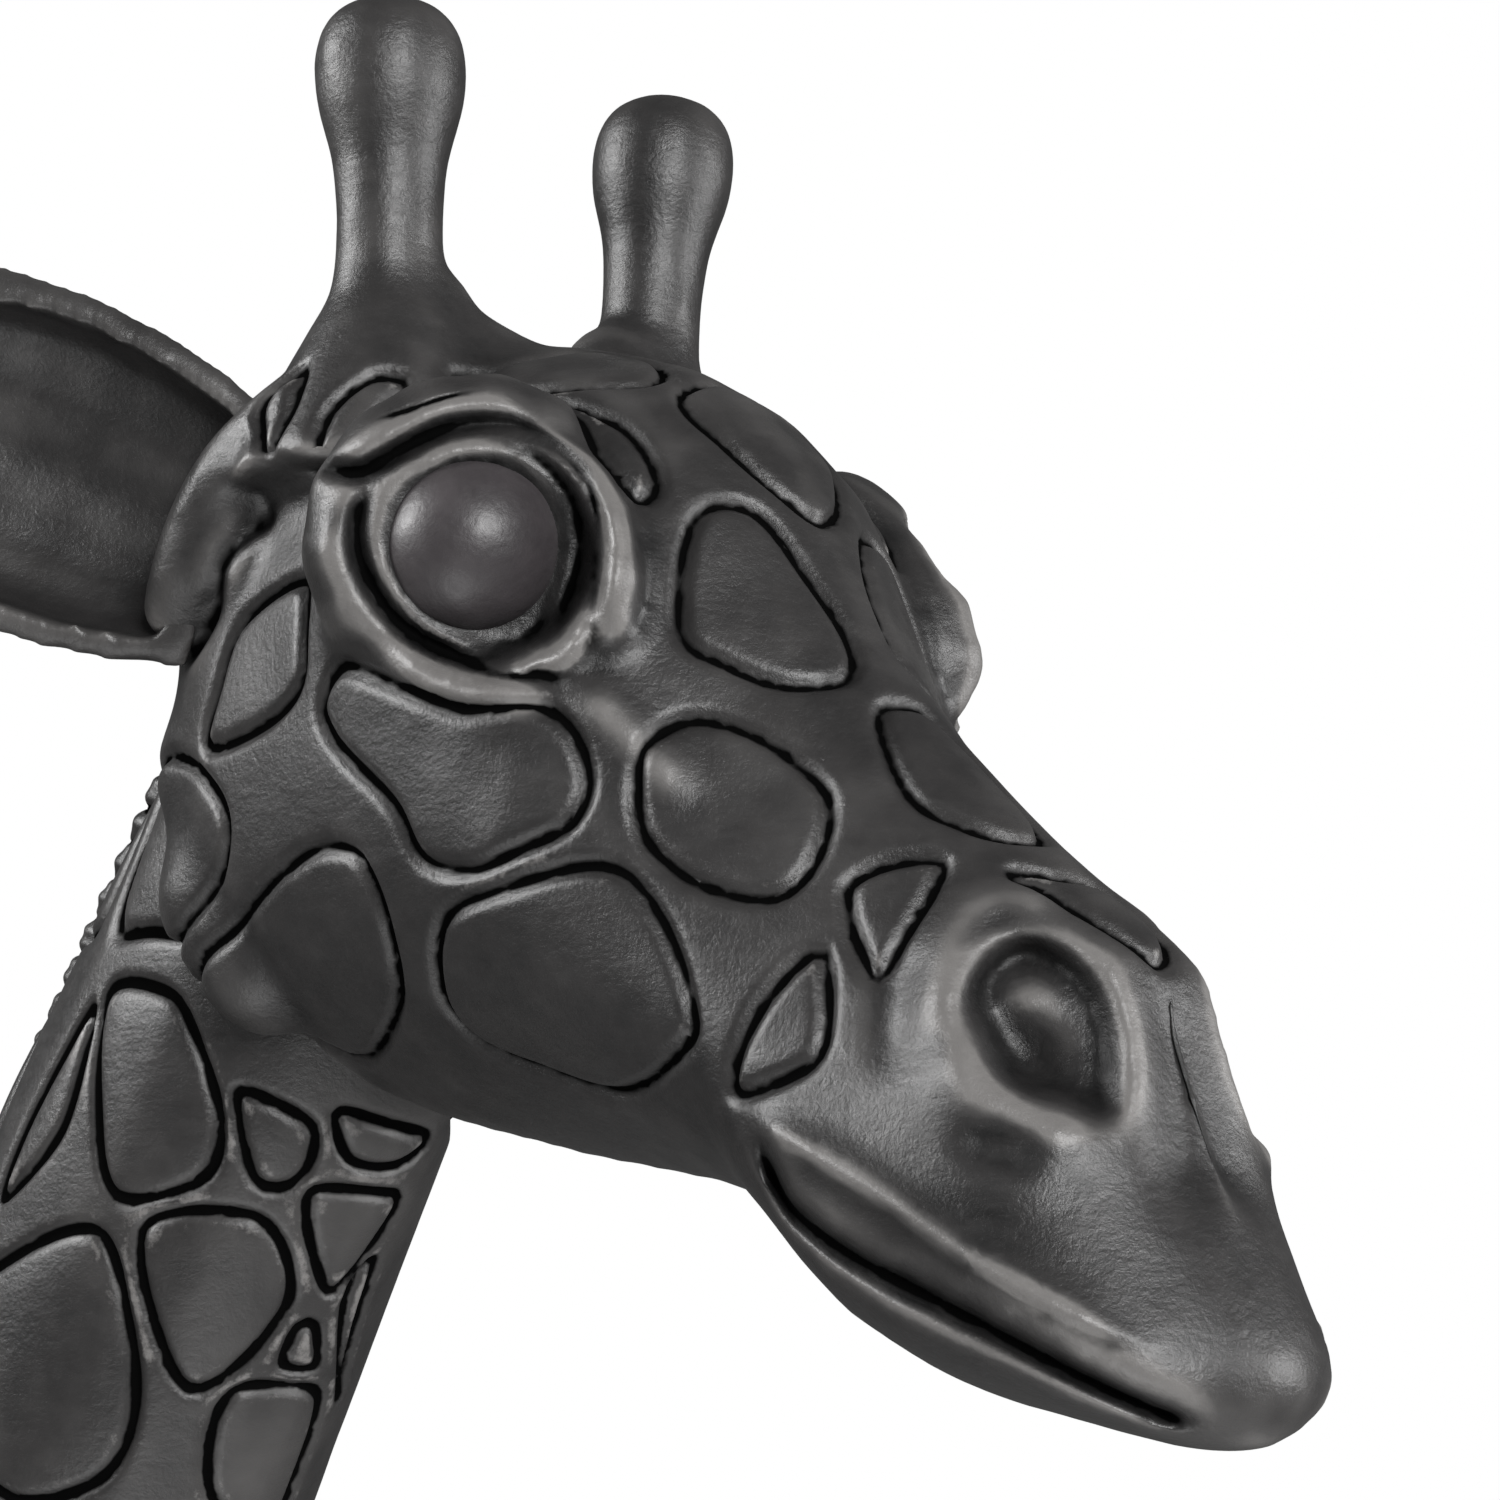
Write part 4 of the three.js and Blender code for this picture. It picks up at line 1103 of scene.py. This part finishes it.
thinned(head, HEAD_FACES)


def part_at(source, name, point, way, keep=None):
    """A copy of a carving, sawn at a plane and closed, with only the side that is kept."""
    bm = bmesh.new()
    bm.from_mesh(source.data)
    if keep:
        bmesh.ops.delete(bm, geom=[v for v in bm.verts if not keep(v.co)], context="VERTS")
    cut_off(bm, point, way)
    mesh = bpy.data.meshes.new(name)
    bm.to_mesh(mesh)
    bm.free()
    part = put_in_scene(name, mesh)
    smoothly_shaded(part)
    shade_as(part, source)
    wear_finish(part, stained_wood)
    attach(part, "root")
    return part


HORN_FOOT_ABOVE_EYES = 51 * MM
horn_foot = head_at + np.array([0, 0, HORN_FOOT_ABOVE_EYES])
head_carved = part_at(head, "head_carving", horn_foot, (0, 0, 1))
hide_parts("head")


# Horns: two knobs of the same dark wood, turned and then carved. Each is pegged on a flared root
# that belongs to the head, and the joint is rubbed down until it doesn't show.

for side, sign in (("right", -1), ("left", 1)):
    horn = part_at(head, "horn_carving_" + side, horn_foot, (0, 0, -1),
                   lambda co: co.x * sign > 0 and co.z > horn_foot[2] - 3 * MM)
    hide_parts("horn_" + side)
bpy.data.objects.remove(head)


# Ears: two cupped leaves, hollowed with a spoon gouge and pegged into the skull. Their rims are
# left thick and rounded, and are rubbed pale along the inner edge.

EAR_CELL = 1.0 * MM
EAR_FACES = 120000
for side in ("right", "left"):
    ear = refill("ear_carved_" + side, merged_copy("ear_" + side), EAR_CELL)
    sand(ear, 40)
    lip = np.clip(stands_out(ear.data, 20), 0, 1.5 * MM)
    set_points(ear.data, points_of(ear.data) + normals_of(ear.data) * 0.5 * lip[:, None])
    sand(ear, 24)
    note(ear, "form", 14, 1.8)
    finer(ear)
    note(ear, "relief", 14, 0.7)
    thinned(ear, EAR_FACES)
    smoothly_shaded(ear)
    wear_finish(ear, stained_wood)
    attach(ear, "root")
    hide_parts("ear_" + side)


# Eyes: turned balls of the same dark wood, polished a little brighter than the head. Each is set
# into its socket and held by the lids.

EYE_RADIUS = 11.5 * MM
polished, polished_surface = new_finish("polished_eye_wood", (0.05, 0.045, 0.047), 0.3)
polished_surface.inputs["Coat Weight"].default_value = 0.05
polished_surface.inputs["Coat Roughness"].default_value = 0.22
eye_cloud = grain(polished, 90, 4)
eye_marks = grain(polished, 700, 4, 0.65)
dress(polished, polished_surface,
      ramp(polished, eye_cloud, [(0.3, (0.034, 0.03, 0.032)), (0.7, (0.062, 0.055, 0.058))]),
      ramp(polished, eye_marks, [(0.3, 0.38), (0.75, 0.5)]),
      [(eye_marks, 0.0001), (eye_cloud, 0.0002)])
for side in ("right", "left"):
    turned = bmesh.new()
    bmesh.ops.create_uvsphere(turned, u_segments=96, v_segments=64, radius=EYE_RADIUS)
    bmesh.ops.translate(turned, verts=turned.verts, vec=Vector(middle("eye_" + side)))
    eye_mesh = bpy.data.meshes.new("eye_ball_" + side)
    turned.to_mesh(eye_mesh)
    turned.free()
    eye = put_in_scene("eye_ball_" + side, eye_mesh)
    smoothly_shaded(eye)
    wear_finish(eye, polished)
    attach(eye, "root")
    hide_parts("eye_" + side)


# Studio: a pale floor, a white surround and soft lamps. The camera stands close under the head,
# to the statue's right, and looks up along the muzzle.

floor_mesh = bpy.data.meshes.new("floor")
paper = bmesh.new()
bmesh.ops.create_grid(paper, x_segments=2, y_segments=2, size=6.0)
paper.to_mesh(floor_mesh)
paper.free()
floor = put_in_scene("floor", floor_mesh)
floor_paint = bpy.data.materials.new("floor_paper")
floor_paint.use_nodes = True
floor_surface = floor_paint.node_tree.nodes["Principled BSDF"]
floor_surface.inputs["Base Color"].default_value = (0.82, 0.82, 0.82, 1)
floor_surface.inputs["Roughness"].default_value = 0.75
floor.data.materials.append(floor_paint)

CAMERA_AZIMUTH = math.radians(-43.5)
CAMERA_ELEVATION = math.radians(-12.2)
CAMERA_BACK, CAMERA_ACROSS, CAMERA_UP = 463.2 * MM, 9.72 * MM, -18.88 * MM
back = Vector((
    math.sin(CAMERA_AZIMUTH) * math.cos(CAMERA_ELEVATION),
    -math.cos(CAMERA_AZIMUTH) * math.cos(CAMERA_ELEVATION),
    math.sin(CAMERA_ELEVATION),
))
across = Vector((math.cos(CAMERA_AZIMUTH), math.sin(CAMERA_AZIMUTH), 0))
upward = back.cross(across)
camera_data = bpy.data.cameras.new("camera")
camera_data.angle = math.radians(24.33)
camera_data.clip_start = 0.01
camera = bpy.data.objects.new("camera", camera_data)
bpy.context.scene.collection.objects.link(camera)
camera.matrix_world = Matrix((
    (across.x, upward.x, back.x, 0),
    (across.y, upward.y, back.y, 0),
    (across.z, upward.z, back.z, 0),
    (0, 0, 0, 1),
))
camera.location = Vector(head_at) + back * CAMERA_BACK + across * CAMERA_ACROSS + upward * CAMERA_UP
bpy.context.scene.camera = camera


def lamp(name, toward, distance, size, power):
    """A square soft box, aimed at the head from the camera's own left, up and back directions."""
    light = bpy.data.lights.new(name, "AREA")
    light.size = size
    light.energy = power
    holder = bpy.data.objects.new(name, light)
    bpy.context.scene.collection.objects.link(holder)
    aim = (across * toward[0] + upward * toward[1] + back * toward[2]).normalized()
    holder.location = Vector(head_at) + aim * distance
    holder.rotation_mode = "QUATERNION"
    holder.rotation_quaternion = aim.to_track_quat("Z", "Y")


lamp("key", (0.35, 0.4, 0.9), 1.5, 0.6, 27)
lamp("right", (1.0, 0.1, 0.1), 1.6, 0.8, 20)
lamp("left", (-0.95, 0.4, -0.1), 1.5, 0.6, 20)
lamp("low", (-0.3, -0.8, 0.5), 1.0, 0.5, 2.2)

bpy.context.scene.view_settings.view_transform = "Standard"
world = bpy.data.worlds.new("surround")
bpy.context.scene.world = world
world.use_nodes = True
sky = world.node_tree.nodes["Background"]
sky.inputs["Color"].default_value = (1, 1, 1, 1)
seen = world.node_tree.nodes.new("ShaderNodeLightPath")
level = world.node_tree.nodes.new("ShaderNodeMapRange")
level.inputs["To Min"].default_value = 0.1
level.inputs["To Max"].default_value = 1.0
world.node_tree.links.new(seen.outputs["Is Camera Ray"], level.inputs["Value"])
world.node_tree.links.new(level.outputs["Result"], sky.inputs["Strength"])
